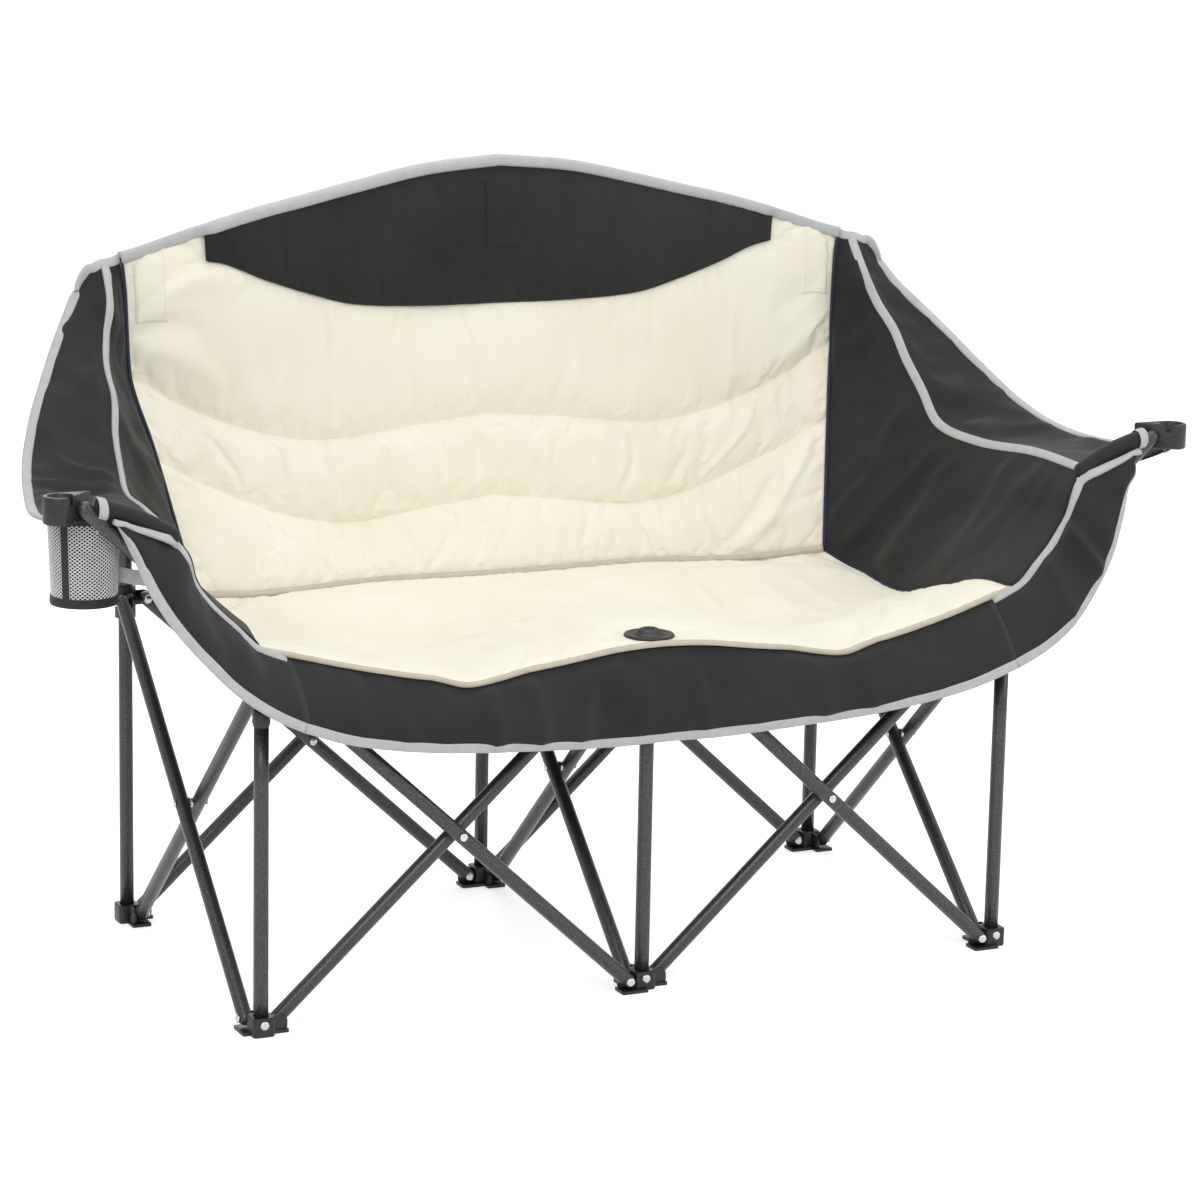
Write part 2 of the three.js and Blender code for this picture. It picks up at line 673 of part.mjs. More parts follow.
// The seat is drawn up over the middle front hub and lies flat under its button
function seatLift(x, y) {
  const away = Math.min(Math.hypot(x, y) / liftReach, 1);
  return liftHeight * (1 - away * away * (3 - 2 * away));
}

function seatHalf(from, to, swell = 0) {
  const middle = (u, v) => seatPoint(1 - 2 * u, from + (to - from) * v);
  const sideFallShare = 0.06;
  const thickness = (u, v) => {
    const share = from + (to - from) * v;
    const inside = Math.min(Math.min(u, 1 - u, share, 1 - share) / sideFallShare, 1);
    const plump = (seatPadThickness - padEdgeThickness) * Math.sin((inside * Math.PI) / 2);
    return padEdgeThickness + plump;
  };
  return slab(middle, thickness, 26, 7, swell);
}

// What presses into the seat from below and above: the tube ends, the hub and the button
function seatPressing() {
  const swollen = tubeRadius + 2 * seatGap;
  const ends = scissorEnds.map(([foot, hub]) => {
    const outwards = vector(hub).sub(vector(foot)).normalize();
    return bar(foot, vector(hub).addScaledVector(outwards, tubeRadius).toArray(), swollen, tubeSides);
  });
  const hubTop = hubHeight + middleHubCap + seatGap;
  const hub = bar([0, 0, 0], [0, 0, hubTop], pinOffset + earRadius + rivetHeadRadius, buttonSides);
  const stem = bar([0, 0, hubHeight], [0, 0, buttonSeat + cutOverrun], stemRadius + seatGap, buttonSides);
  const flangeTop = [0, 0, buttonSeat + 2 * cutOverrun];
  const flange = bar([0, 0, buttonSeat], flangeTop, buttonRadius + seatGap, buttonSides);
  return [...ends, hub, stem, flange];
}

const buttonSeat = hubHeight + middleHubCap + buttonStand;
addPiece("seat_pad_front", cream, cut(seatHalf(0, seatSplitShare - splitHalf), ...seatPressing()));

// Seat button: the cap of the middle front hub, seen through the seat
function seatButton() {
  const flangeBottom = buttonSeat + seatGap;
  const stemBottom = hubHeight + middleHubCap + seatGap;
  const domeBase = flangeBottom + buttonFlange;
  const profile = [new THREE.Vector2(0, stemBottom), new THREE.Vector2(stemRadius, stemBottom)];
  profile.push(new THREE.Vector2(stemRadius, flangeBottom), new THREE.Vector2(buttonRadius, flangeBottom));
  profile.push(new THREE.Vector2(buttonRadius, flangeBottom + buttonFlange / 2));
  profile.push(new THREE.Vector2(buttonRadius - buttonFlange / 2, domeBase));
  const steps = 4;
  for (let step = 0; step <= steps; step++) {
    const angle = (step / steps) * Math.PI / 2;
    const out = step === steps ? 0 : buttonDomeRadius * Math.cos(angle);
    profile.push(new THREE.Vector2(out, domeBase + buttonDomeHeight * Math.sin(angle)));
  }
  const geometry = new THREE.LatheGeometry(profile, buttonSides);
  geometry.rotateX(Math.PI / 2);
  return solidFrom(geometry);
}

addPiece("seat_button", plastic, seatButton());

// Back pad with its two sewn channels, and the headrest panel on top of it
const channelPlaceShares = [0.25, 0.5];
const channelWidthShare = 0.035;

function backThickness(u, v) {
  const full = crown(backPadThickness, padEdgeThickness)(u, v);
  const nearest = Math.min(...channelPlaceShares.map((place) => Math.abs(v - place)));
  const sunk = Math.max(0, 1 - nearest / channelWidthShare);
  return full - channelDepth * sunk;
}

function backPad(swell) {
  return slab((u, v) => backPoint(2 * u - 1, v), backThickness, 26, 16, swell);
}

// The room that the back pad takes in the pieces sewn to it
const backRoom = backPad(seatGap);

addPiece("back_pad", cream, backPad());
addPiece("seat_pad_rear", cream, cut(seatHalf(seatSplitShare + splitHalf, 1), backRoom));

const headrestLowShare = 0.755;
const headrestHighShare = 0.985;
const headrestWidthShare = 0.79;

function headrestMiddle(u, v) {
  const share = headrestLowShare + (headrestHighShare - headrestLowShare) * v;
  const point = backPoint((2 * u - 1) * headrestWidthShare, share);
  return point.setY(point.y - backPadThickness / 2 - seatGap - headrestThickness / 2);
}

addPiece("headrest_panel", charcoal, slab(headrestMiddle, crown(headrestThickness, padEdgeThickness), 16, 5));

// Sewn side, arm and front panels, the same on both sides
const armInnerShares = [
  [1.148, 0.974, 3.04], [1.162, 0.904, 2.821], [1.213, 0.864, 2.627], [1.259, 0.8, 2.462],
  [1.264, 0.736, 2.297], [1.306, 0.676, 2.112], [1.329, 0.6, 1.923], [1.407, 0.452, 1.86],
  [1.491, 0.22, 1.878], [1.523, 0.024, 1.855],
];
const armOuterShares = [
  [1.241, 0.956, 3.015], [1.37, 0.944, 2.806], [1.519, 0.868, 2.602], [1.657, 0.784, 2.403],
  [1.787, 0.696, 2.205], [1.907, 0.584, 2.015], [1.991, 0.46, 1.914], [2.083, 0.3, 1.878],
  [2.134, 0.18, 1.892], [2.148, 0.03, 1.923],
];

// An apron's edges, from its arm's end to its joint with the middle apron
const apronTopShares = [
  [1.87, -0.016, 1.942], [1.764, -0.012, 1.905], [1.648, -0.006, 1.869], [1.546, 0, 1.832],
  [1.486, -0.002, 1.787], [1.435, -0.012, 1.71], [1.398, -0.01, 1.587], [1.338, -0.01, 1.497],
  [1.259, -0.016, 1.41], [1.167, -0.02, 1.325], [1.051, -0.024, 1.214],
];
const apronLowShares = [
  [1.82, -0.016, 1.905], [1.788, -0.036, 1.814], [1.749, -0.056, 1.71], [1.712, -0.072, 1.605],
  [1.663, -0.088, 1.505], [1.609, -0.104, 1.414], [1.542, -0.12, 1.323], [1.417, -0.14, 1.183],
  [1.333, -0.15, 1.095], [1.241, -0.158, 1.012], [1.139, -0.162, 0.968], [1.023, -0.162, 0.932],
  [0.95, -0.158, 0.897],
];
const sideFrontPlaces = [4, 11]; // the part of the top edge that a side panel is sewn to
const apronTurnShares = [1.2, 1.7]; // where an apron turns towards the layer of its arm tube
const apronJointShare = apronLowShares.at(-1)[0];
const apronPlaceShares = [0, 0.12, 0.24, 0.36, 0.48, 0.6, 0.72, 0.84, 0.95];
const apronDepthShares = [-0.12, -0.121, -0.122, -0.125, -0.13, -0.135, -0.142, -0.15, -0.158];
const apronHeightShares = [0.767, 0.765, 0.769, 0.777, 0.786, 0.799, 0.82, 0.851, 0.897];
const apronBelly = 12; // how far an apron bellies forward between its edges

// What a sewn edge is cut by, so that the panels meet their neighbours without touching
const sewnTo = {
  pads: [backRoom, seatHalf(0, seatSplitShare, seatGap), seatHalf(seatSplitShare, 1, seatGap)],
};
const cloth = () => clothThickness;

// A surface ruled between two lines, bulged square to it by a share of its width
function ruled(first, second, bulgeShare = 0) {
  return (u, v) => {
    const [a, b] = [first.getPointAt(u), second.getPointAt(u)];
    const point = a.clone().lerp(b, v);
    const sag = bulgeShare * a.distanceTo(b) * 4 * v * (1 - v);
    return point.setZ(point.z - sag);
  };
}

// The same surface with its last edge drawn on to a line of its own
function drawnTo(surface, edge) {
  const fromShare = 0.6;
  return (u, v) => {
    const share = Math.max(0, (u - fromShare) / (1 - fromShare));
    const pull = edge.getPointAt(v).sub(surface(1, v)).multiplyScalar(share * share * (3 - 2 * share));
    return surface(u, v).add(pull);
  };
}

// A point of a sheet that hangs from one point to another and bellies forward
function hung(high, low, v) {
  const point = high.clone().lerp(low, v);
  return point.setY(point.y - apronBelly * 4 * v * (1 - v));
}

// Where an apron is sewn on, just under the seat's front edge
function underSeat(s) {
  const point = seatPoint(s, 0);
  return point.add(new THREE.Vector3(0, clothThickness, -padEdgeThickness / 2 - 3 * seatGap));
}

// Points of an apron's edge, which turns towards the layer of its arm tube
function frontPoints(shares, side) {
  const [turnFrom, turnTo] = apronTurnShares;
  return shares.map((share) => {
    const turned = Math.min(Math.max((share[0] - turnFrom) / (turnTo - turnFrom), 0), 1);
    const point = placed(share, side);
    return point.setY(point.y + turned * armTubes[side].tip[1]);
  });
}

// A side panel's front edge: along the apron's top edge, a cloth's thickness inboard of it
function sideFront(side) {
  const inboard = new THREE.Vector3(-side * (clothThickness + seatGap), 0, 0);
  const points = frontPoints(apronTopShares.slice(...sideFrontPlaces), side).reverse();
  points.forEach((point) => point.add(inboard));
  points.unshift(seatPoint(side, 0));
  points.push(placed(armInnerShares.at(-1), side));
  return new THREE.CatmullRomCurve3(points, false, "centripetal");
}

// The line down a side of the back and along that side of the seat
function padSide(side) {
  const steps = 8;
  const points = [];
  for (let step = steps; step >= 0; step--) points.push(backPoint(side, step / steps));
  for (let step = steps - 1; step >= 0; step--) points.push(seatPoint(side, step / steps));
  return new THREE.CatmullRomCurve3(points, false, "centripetal");
}

// The cup pouch hangs from the left arm panel, behind the arm tube
const cupPlace = [-(armReach - cupInboard), sleeveHalfWidth - layerOffset + cupRadius + cupBehindSleeve];
const cupRim = armHeight + bracketRise - bracketHeight / 2 - cupBelowBracket;

function cupSolid() {
  const low = cupRim - cupDepth;
  const profile = [
    new THREE.Vector2(0, low),
    new THREE.Vector2(cupRadius - cupTaper, low),
    new THREE.Vector2(cupRadius, cupRim),
    new THREE.Vector2(cupRadius - cupWall, cupRim),
    new THREE.Vector2(cupRadius - cupTaper - cupWall, low + cupWall),
    new THREE.Vector2(0, low + cupWall),
  ];
  const geometry = new THREE.LatheGeometry(profile, barrelSides);
  geometry.rotateX(Math.PI / 2);
  return solidFrom(geometry);
}

addPiece("cup_pouch", netting, cupSolid(), [cupPlace[0], cupPlace[1], 0]);

const cupHole = bar(
  [cupPlace[0], cupPlace[1], cupRim - cupDepth],
  [cupPlace[0], cupPlace[1], armHeight + cupDepth],
  cupRadius + seatGap,
  barrelSides,
);

// Sleeve: the padded front end of an arm, pulled over the arm tube's tip
const sleeveDropShare = 0.17;

function sleeveSolid({ hub, tip }, swell = 0) {
  const side = Math.sign(tip[0]);
  const outer = tip[0] - side * (bracketOverlap + seatGap);
  const inner = side * across(armInnerShares.at(-1)[0]);
  const drop = (armHeight - hubHeight) * sleeveDropShare;
  const y = tip[1];
  const path = new THREE.QuadraticBezierCurve3(
    new THREE.Vector3(outer, y, armHeight),
    new THREE.Vector3((outer + inner) / 2, y, armHeight - drop / 4),
    new THREE.Vector3(inner, y, armHeight - drop),
  );
  const section = new THREE.Shape();
  section.absellipse(0, 0, sleeveHalfWidth + swell, sleeveHalfHeight + swell, 0, 2 * Math.PI);
  const settings = { steps: 5, extrudePath: path, curveSegments: 6, bevelEnabled: false };
  const geometry = new THREE.ExtrudeGeometry(section, settings);
  if (swell) return solidFrom(geometry);
  const way = vector(tip).sub(vector(hub)).normalize();
  const past = vector(tip).addScaledVector(way, tubeRadius).toArray();
  return cut(solidFrom(geometry), bar(hub, past, tubeRadius + seatGap, tubeSides));
}

// The room that an arm tube takes in the cloth
function tubeRoom({ hub, tip }) {
  return bar(hub, tip, tubeRadius + 2 * seatGap, tubeSides);
}

// The room that an arm's bracket takes in the cloth
function bracketRoom({ tip }) {
  const side = Math.sign(tip[0]);
  const innerX = tip[0] - side * (bracketOverlap + seatGap);
  const outerX = innerX + side * (bracketLength + bracketHalfWidth);
  const reach = [bracketHalfWidth + seatGap, bracketHeight / 2 + seatGap];
  const low = [Math.min(innerX, outerX), tip[1] - reach[0], tip[2] + bracketRise - reach[1]];
  const high = [Math.max(innerX, outerX), tip[1] + reach[0], tip[2] + bracketRise + reach[1]];
  return box(low, high);
}

for (const [name, side] of [["left", -1], ["right", 1]]) {
  const sleeveRoom = sleeveSolid(armTubes[side], seatGap);
  const endRoom = bracketRoom(armTubes[side]);
  const inner = smoothLine(armInnerShares, side);
  const outer = smoothLine(armOuterShares, side);
  const sideSurface = drawnTo(ruled(padSide(side), inner, sideSagShare), sideFront(side));
  const sideCloth = slab(sideSurface, cloth, 18, 5);
  const tubeTool = tubeRoom(armTubes[side]);
  const sidePanel = whole(cut(sideCloth, ...sewnTo.pads, sleeveRoom, tubeTool));
  addPiece(`${name}_side_panel`, charcoal, sidePanel);
  const crease = new THREE.Vector3(side * (clothThickness + seatGap), 0, 0);
  const innerTop = curveThrough(inner.points.map((point) => point.clone().add(crease)));
  const armCloth = slab(ruled(innerTop, outer, armSagShare), cloth, 12, 4);
  const holes = side < 0 ? [cupHole] : [];
  addPiece(`${name}_arm_panel`, charcoal, cut(armCloth, sleeveRoom, endRoom, tubeTool, ...holes));
  addPiece(`${name}_arm_sleeve`, charcoal, sleeveSolid(armTubes[side]));
  const seatEnd = underSeat((side * across(apronJointShare)) / across(seatWidthShares[0]));
  const top = curveThrough([...frontPoints(apronTopShares, side), seatEnd]);
  const low = curveThrough(frontPoints(apronLowShares, side));
  const apron = slab((u, v) => hung(top.getPointAt(u), low.getPointAt(u), v), cloth, 14, 4);
  const apronCut = cut(apron, ...sewnTo.pads, endRoom, sleeveRoom, tubeTool);
  addPiece(`${name}_apron`, charcoal, whole(apronCut));
}

function apronMiddle(u, v) {
  const x = (2 * u - 1) * (across(apronJointShare) - 2 * seatGap);
  const out = Math.abs(x) / bay;
  const y = depth * eased(apronPlaceShares, apronDepthShares, out);
  const low = new THREE.Vector3(x, y, upwards(eased(apronPlaceShares, apronHeightShares, out)));
  return hung(underSeat(x / across(seatWidthShares[0])), low, v);
}

addPiece("front_apron", charcoal, cut(slab(apronMiddle, cloth, 22, 3), ...sewnTo.pads));

// The chair's own frame: the middle of its footprint on the floor
const extent = new THREE.Box3().setFromObject(model);
model.position.y = -(extent.min.y + extent.max.y) / 2;

export default model;
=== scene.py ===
# A folding two-seat camping sofa: padded cloth slung on a scissor frame of steel tube.
# Lengths are in metres. +X is to the right, +Y to the back and +Z up.
import json
import math

import bpy
import numpy as np
from mathutils import Matrix, Vector


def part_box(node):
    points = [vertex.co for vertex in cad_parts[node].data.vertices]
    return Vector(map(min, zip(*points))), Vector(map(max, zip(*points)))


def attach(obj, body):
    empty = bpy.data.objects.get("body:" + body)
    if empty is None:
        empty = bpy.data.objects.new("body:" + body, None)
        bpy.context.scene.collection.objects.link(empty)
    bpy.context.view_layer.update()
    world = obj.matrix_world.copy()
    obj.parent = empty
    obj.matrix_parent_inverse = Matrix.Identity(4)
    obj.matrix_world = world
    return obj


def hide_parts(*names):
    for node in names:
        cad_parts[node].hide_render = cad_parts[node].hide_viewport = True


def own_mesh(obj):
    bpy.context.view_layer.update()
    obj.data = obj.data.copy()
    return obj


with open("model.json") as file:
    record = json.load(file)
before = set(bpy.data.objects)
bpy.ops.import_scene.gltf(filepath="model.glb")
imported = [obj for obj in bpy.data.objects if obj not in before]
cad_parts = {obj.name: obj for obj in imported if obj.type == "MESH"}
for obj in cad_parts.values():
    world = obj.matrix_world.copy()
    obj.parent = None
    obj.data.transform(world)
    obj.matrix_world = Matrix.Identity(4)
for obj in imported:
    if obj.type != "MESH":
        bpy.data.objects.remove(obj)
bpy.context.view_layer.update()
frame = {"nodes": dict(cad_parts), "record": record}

# Studio
# The camera stands where the photograph was taken from, which the feet and the scissor pins gave.
# The floor and the backdrop are white to the camera and plain grey light to the sofa.
MM = 0.001
front_row_y = sum(corner[1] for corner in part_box("front_centre_post")) / 2
camera_turn = math.radians(-24.85)
camera_rise = math.radians(11.9)
camera_roll = math.radians(1.034)
camera_distance = 4.9145
camera_aim = Vector((0, 0.25 + front_row_y, 0.45))
photo_width = 1200
focal_pixels = 3868.3
optical_centre = (563.32, 592.04)
sensor_width = 36
floor_size = 80
floor_glow = 0.56
room_light = "#f4f6f8"
room_level = 0.5
lamp_places = (
    ("key_lamp", (-2.2, -3.2, 3.2), 2.6, 78),
    ("side_lamp", (3.2, -2.4, 2.2), 2.4, 34),
    ("top_lamp", (0.2, 0.3, 3.6), 3.0, 42),
    ("back_lamp", (0.6, 3.4, 2.4), 2.4, 40),
)


def shade(code):
    """A web colour as the linear values that a shader takes."""
    values = [int(code[i : i + 2], 16) / 255 for i in (1, 3, 5)]
    return [c / 12.92 if c <= 0.04045 else ((c + 0.055) / 1.055) ** 2.4 for c in values] + [1]


def aim_camera():
    back = Vector(
        (
            math.sin(camera_turn) * math.cos(camera_rise),
            -math.cos(camera_turn) * math.cos(camera_rise),
            math.sin(camera_rise),
        )
    )
    level = Vector((math.cos(camera_turn), math.sin(camera_turn), 0))
    upright = back.cross(level)
    right = math.cos(camera_roll) * level + math.sin(camera_roll) * upright
    up = -math.sin(camera_roll) * level + math.cos(camera_roll) * upright
    data = bpy.data.cameras.new("camera")
    data.sensor_width = sensor_width
    data.lens = focal_pixels / photo_width * sensor_width
    data.shift_x = 0.5 - optical_centre[0] / photo_width
    data.shift_y = optical_centre[1] / photo_width - 0.5
    camera = bpy.data.objects.new("camera", data)
    bpy.context.collection.objects.link(camera)
    turned = Matrix((right, up, back)).transposed().to_4x4()
    camera.matrix_world = Matrix.Translation(camera_aim + back * camera_distance) @ turned
    bpy.context.scene.camera = camera


def added(nodes, kind, values=(), **settings):
    """A new node with its settings made and the values of its sockets filled in."""
    node = nodes.new(kind)
    for name, value in settings.items():
        setattr(node, name, value)
    for name, value in dict(values).items():
        node.inputs[name].default_value = value
    return node


def wired(links, *wires):
    """Each wire leads from a node's output to another node's input, by name or by number."""
    for giver, output, taker, entry in wires:
        links.new(giver.outputs[output], taker.inputs[entry])


def new_finish(name, values):
    """A material with its shader's plain values, and what its pattern is made with."""
    material = bpy.data.materials.new(name)
    material.use_nodes = True
    nodes, links = material.node_tree.nodes, material.node_tree.links
    shader = nodes["Principled BSDF"]
    for socket, value in values.items():
        shader.inputs[socket].default_value = value
    return material, nodes, links, shader


def seen_directly(nodes, links):
    """1 for rays from the camera, a mirror or glass, and 0 for rays that light the sofa."""
    path = added(nodes, "ShaderNodeLightPath")
    first = added(nodes, "ShaderNodeMath", operation="MAXIMUM")
    second = added(nodes, "ShaderNodeMath", operation="MAXIMUM")
    wired(links, (path, "Is Camera Ray", first, 0), (path, "Is Glossy Ray", first, 1))
    wired(links, (first, 0, second, 0), (path, "Is Transmission Ray", second, 1))
    return second


def build_world():
    world = bpy.data.worlds.new("studio")
    bpy.context.scene.world = world
    world.use_nodes = True
    nodes, links = world.node_tree.nodes, world.node_tree.links
    nodes.clear()
    room = added(nodes, "ShaderNodeBackground", {"Color": shade(room_light), "Strength": room_level})
    white = added(nodes, "ShaderNodeBackground", {"Color": (1, 1, 1, 1)})
    mix = added(nodes, "ShaderNodeMixShader")
    output = added(nodes, "ShaderNodeOutputWorld")
    wired(links, (seen_directly(nodes, links), 0, mix, "Fac"), (room, 0, mix, 1), (white, 0, mix, 2))
    wired(links, (mix, 0, output, "Surface"))


def build_floor():
    half = floor_size / 2
    mesh = bpy.data.meshes.new("floor")
    corners = [(x * half, y * half, 0) for x, y in ((-1, -1), (1, -1), (1, 1), (-1, 1))]
    mesh.from_pydata(corners, [], [(0, 1, 2, 3)])
    floor = bpy.data.objects.new("floor", mesh)
    bpy.context.collection.objects.link(floor)
    plain = {"Base Color": shade("#fbfbfb"), "Roughness": 0.9, "Emission Color": (1, 1, 1, 1)}
    material, nodes, links, shader = new_finish("white_floor", plain)
    glow = added(nodes, "ShaderNodeMath", {1: floor_glow}, operation="MULTIPLY")
    wired(links, (seen_directly(nodes, links), 0, glow, 0), (glow, 0, shader, "Emission Strength"))
    mesh.materials.append(material)


def hang_lamps():
    for name, place, size, power in lamp_places:
        data = bpy.data.lights.new(name, "AREA")
        data.size = size
        data.energy = power
        lamp = bpy.data.objects.new(name, data)
        bpy.context.collection.objects.link(lamp)
        lamp.location = place
        lamp.rotation_euler = (camera_aim - Vector(place)).to_track_quat("-Z", "Y").to_euler()


aim_camera()
build_world()
build_floor()
hang_lamps()
bpy.context.scene.view_settings.view_transform = "Standard"


# Steel tubes
# Each scissor arm is a length of round steel tube with a closed, rounded end at each pivot.
# The steel has a dark hammered powder coat: fine pale flecks on charcoal, and a soft gloss.
bay = 500
tube_radius = 9
arm_reach = 716
pin_height = 15
hub_height = 429
arm_height = 648.82
tube_sides = 28
end_rings = 5
scissor_tubes = (
    ("front_left_arm_tube", "left_arm", (-24, -11), (-arm_reach, -11)),
    ("front_left_brace_tube", "left_brace", (-476, 11), (-24, 11)),
    ("front_right_arm_tube", "right_arm", (24, 11), (arm_reach, 11)),
    ("front_right_brace_tube", "right_brace", (476, -11), (24, -11)),
    ("centre_side_front_tube", "middle_front_tube", (-11, 24), (-11, 476)),
    ("centre_side_rear_tube", "middle_rear_tube", (11, 476), (11, 24)),
    ("rear_left_inner_tube", "rear_left_inner", (-24, 489), (-476, 489)),
    ("rear_left_outer_tube", "rear_left_outer", (-476, 511), (-24, 511)),
    ("rear_right_inner_tube", "rear_right_inner", (24, 511), (476, 511)),
    ("rear_right_outer_tube", "rear_right_outer", (476, 489), (24, 489)),
    ("left_side_front_tube", "left_side_front", (-511, 24), (-511, 476)),
    ("left_side_rear_tube", "left_side_rear", (-489, 476), (-489, 24)),
    ("right_side_front_tube", "right_side_front", (489, 24), (489, 476)),
    ("right_side_rear_tube", "right_side_rear", (511, 476), (511, 24)),
)
legs = {
    "front_left": ("front_left_leg", -bay, 0),
    "front_centre": ("centre_front_leg", 0, 0),
    "front_right": ("front_right_leg", bay, 0),
    "rear_left": ("rear_left_leg", -bay, bay),
    "rear_centre": ("rear_centre_leg", 0, bay),
    "rear_right": ("rear_right_leg", bay, bay),
}


def placed(points):
    """Millimetres from the middle front post's foot, as points of the frame in metres."""
    points = np.asarray(points, float) * MM
    return points + np.array((0, front_row_y, 0))


def piece_from(name, shape, material, body):
    """A named piece that rides on a body, from points and faces, with UVs where it has any."""
    points, faces, *uvs = shape
    mesh = bpy.data.meshes.new(name)
    mesh.from_pydata([tuple(p) for p in points], [], [tuple(map(int, f)) for f in faces])
    mesh.polygons.foreach_set("use_smooth", [True] * len(mesh.polygons))
    mesh.materials.append(material)
    if uvs:
        layer = mesh.uv_layers.new(name="surface")
        index = np.empty(len(mesh.loops), int)
        mesh.loops.foreach_get("vertex_index", index)
        layer.data.foreach_set("uv", np.asarray(uvs[0], float)[index].ravel())
    mesh.update()
    piece = bpy.data.objects.new(name, mesh)
    bpy.context.collection.objects.link(piece)
    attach(piece, body)
    return piece


def run_of(path):
    """How far along a path each of its points lies."""
    return np.concatenate([[0], np.cumsum(np.linalg.norm(np.diff(path, axis=0), axis=1))])


def skinned(rings, path):
    """Points, faces and UVs of rings skinned one to the next, with a pole at each end of the path."""
    sides = rings.shape[1]
    points = np.concatenate([rings.reshape(-1, 3), path[:1], path[-1:]])
    faces = []
    for ring in range(len(rings)):
        for i in range(sides):
            j = (i + 1) % sides
            a, b = ring * sides, (ring + 1) * sides
            if ring + 1 < len(rings):
                faces.append((a + i, a + j, b + j, b + i))
            if ring == 0:
                faces.append((len(points) - 2, j, i))
            if ring + 1 == len(rings):
                faces.append((len(points) - 1, a + i, a + j))
    around, run = run_of(rings[len(rings) // 2]), run_of(path)
    uvs = np.stack(np.broadcast_arrays(around[None, :], run[:, None]), -1).reshape(-1, 2)
    return points, faces, np.concatenate([uvs, [[0, 0]], [[0, run[-1]]]])


def turned(profile, sides, centre):
    """Points and faces of a profile turned about an upright line; it starts and ends on the line."""
    radii, heights = np.array(profile, float).T
    angles = np.linspace(0, 2 * math.pi, sides, endpoint=False)
    rings = radii[:, None, None] * np.stack([np.cos(angles), np.sin(angles), 0 * angles], -1)[None]
    rings += (*centre, 0)
    rings[..., 2] += heights[:, None]
    poles = np.array([(*centre, heights[0]), (*centre, heights[-1])], float)
    path = np.concatenate([poles[:1], np.repeat(poles[1:], len(profile) - 1, 0)])
    points, faces, _ = skinned(rings, path)
    return placed(points), faces


def swept(path, radii, sides, flat=1.0, up=None):
    """Points, faces and UVs of a closed round sweep along a path, with a pole at each end."""
    path = np.asarray(path, float)
    radii = np.broadcast_to(radii, len(path))
    along = np.gradient(path, axis=0)
    along /= np.linalg.norm(along, axis=1)[:, None]
    if up is None:
        up = (0, 0, 1) if abs(along[0][2]) < 0.9 else (1, 0, 0)
    first = np.array(up, float)
    side = np.empty_like(path)
    for i, way in enumerate(along):
        first = first - way * (first @ way)
        first /= np.linalg.norm(first)
        side[i] = first
    other = np.cross(along, side)
    angles = np.linspace(0, 2 * math.pi, sides, endpoint=False)
    sideways = np.cos(angles)[None, :, None] * side[:, None]
    level = flat * np.sin(angles)[None, :, None] * other[:, None]
    return skinned(path[:, None] + radii[:, None, None] * (sideways + level), path)


def capsule(start, end, radius):
    """A straight path with rounded ends about its two points, and the radius at each step."""
    start, end = np.asarray(start, float), np.asarray(end, float)
    way = (end - start) / np.linalg.norm(end - start)
    turns = np.linspace(0.12, math.pi / 2, end_rings)
    low = [start - way * radius * math.cos(t) for t in turns]
    high = [end + way * radius * math.cos(t) for t in turns[::-1]]
    radii = [radius * math.sin(t) for t in turns]
    return np.array(low + high), np.array(radii + radii[::-1])


def toned(nodes, dark, light, start=0.0, end=1.0):
    """A ramp from a dark to a light colour."""
    tone = nodes.new("ShaderNodeValToRGB")
    for stop, colour, place in zip(tone.color_ramp.elements, (dark, light), (start, end)):
        stop.color, stop.position = shade(colour), place
    return tone


def hammered_steel():
    plain = {"Metallic": 0.35, "Coat Weight": 0.25}
    material, nodes, links, shader = new_finish("hammered_powder_coat", plain)
    place = added(nodes, "ShaderNodeTexCoord")
    flecks = added(nodes, "ShaderNodeTexVoronoi", {"Scale": 520})
    grain = added(nodes, "ShaderNodeTexNoise", {"Scale": 900, "Detail": 3})
    tone = toned(nodes, "#222223", "#606163", 0.42, 0.8)
    gloss = added(nodes, "ShaderNodeMapRange", {"To Min": 0.28, "To Max": 0.5})
    bump = added(nodes, "ShaderNodeBump", {"Distance": 0.00035, "Strength": 0.7})
    wired(links, (place, "Object", flecks, "Vector"), (place, "Object", grain, "Vector"))
    wired(links, (grain, "Fac", tone, "Fac"), (tone, "Color", shader, "Base Color"))
    wired(links, (flecks, "Distance", gloss, "Value"), (gloss, "Result", shader, "Roughness"))
    wired(links, (flecks, "Distance", bump, "Height"), (bump, "Normal", shader, "Normal"))
    return material


coated_steel = hammered_steel()

for node, body, foot, top in scissor_tubes:
    end_height = arm_height if abs(top[0]) == arm_reach else hub_height
    ends = placed([(*foot, pin_height), (*top, end_height)])
    path, radii = capsule(*ends, tube_radius * MM)
    tube = piece_from(f"{node}_steel", swept(path, radii, tube_sides), coated_steel, body)
    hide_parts(node)


# Leg posts
# Six upright tubes of the same coated steel. The front ones end in a moulded collar that the
# hub's rod slides through, and the rear ones run on up behind the back pad.
post_bottom = 4.3
collar_low = 375
collar_high = 396
collar_radius = 10.8
collar_profile = (
    (collar_low, tube_radius + 0.1), (collar_low + 1, tube_radius + 0.6),
    (collar_low + 6, collar_radius),
    (collar_high - 5, collar_radius), (collar_high - 0.5, tube_radius + 0.9), (collar_high, tube_radius),
)
post_side_top = 855
post_tops = {"front": collar_low, "side": post_side_top, "middle": 968}


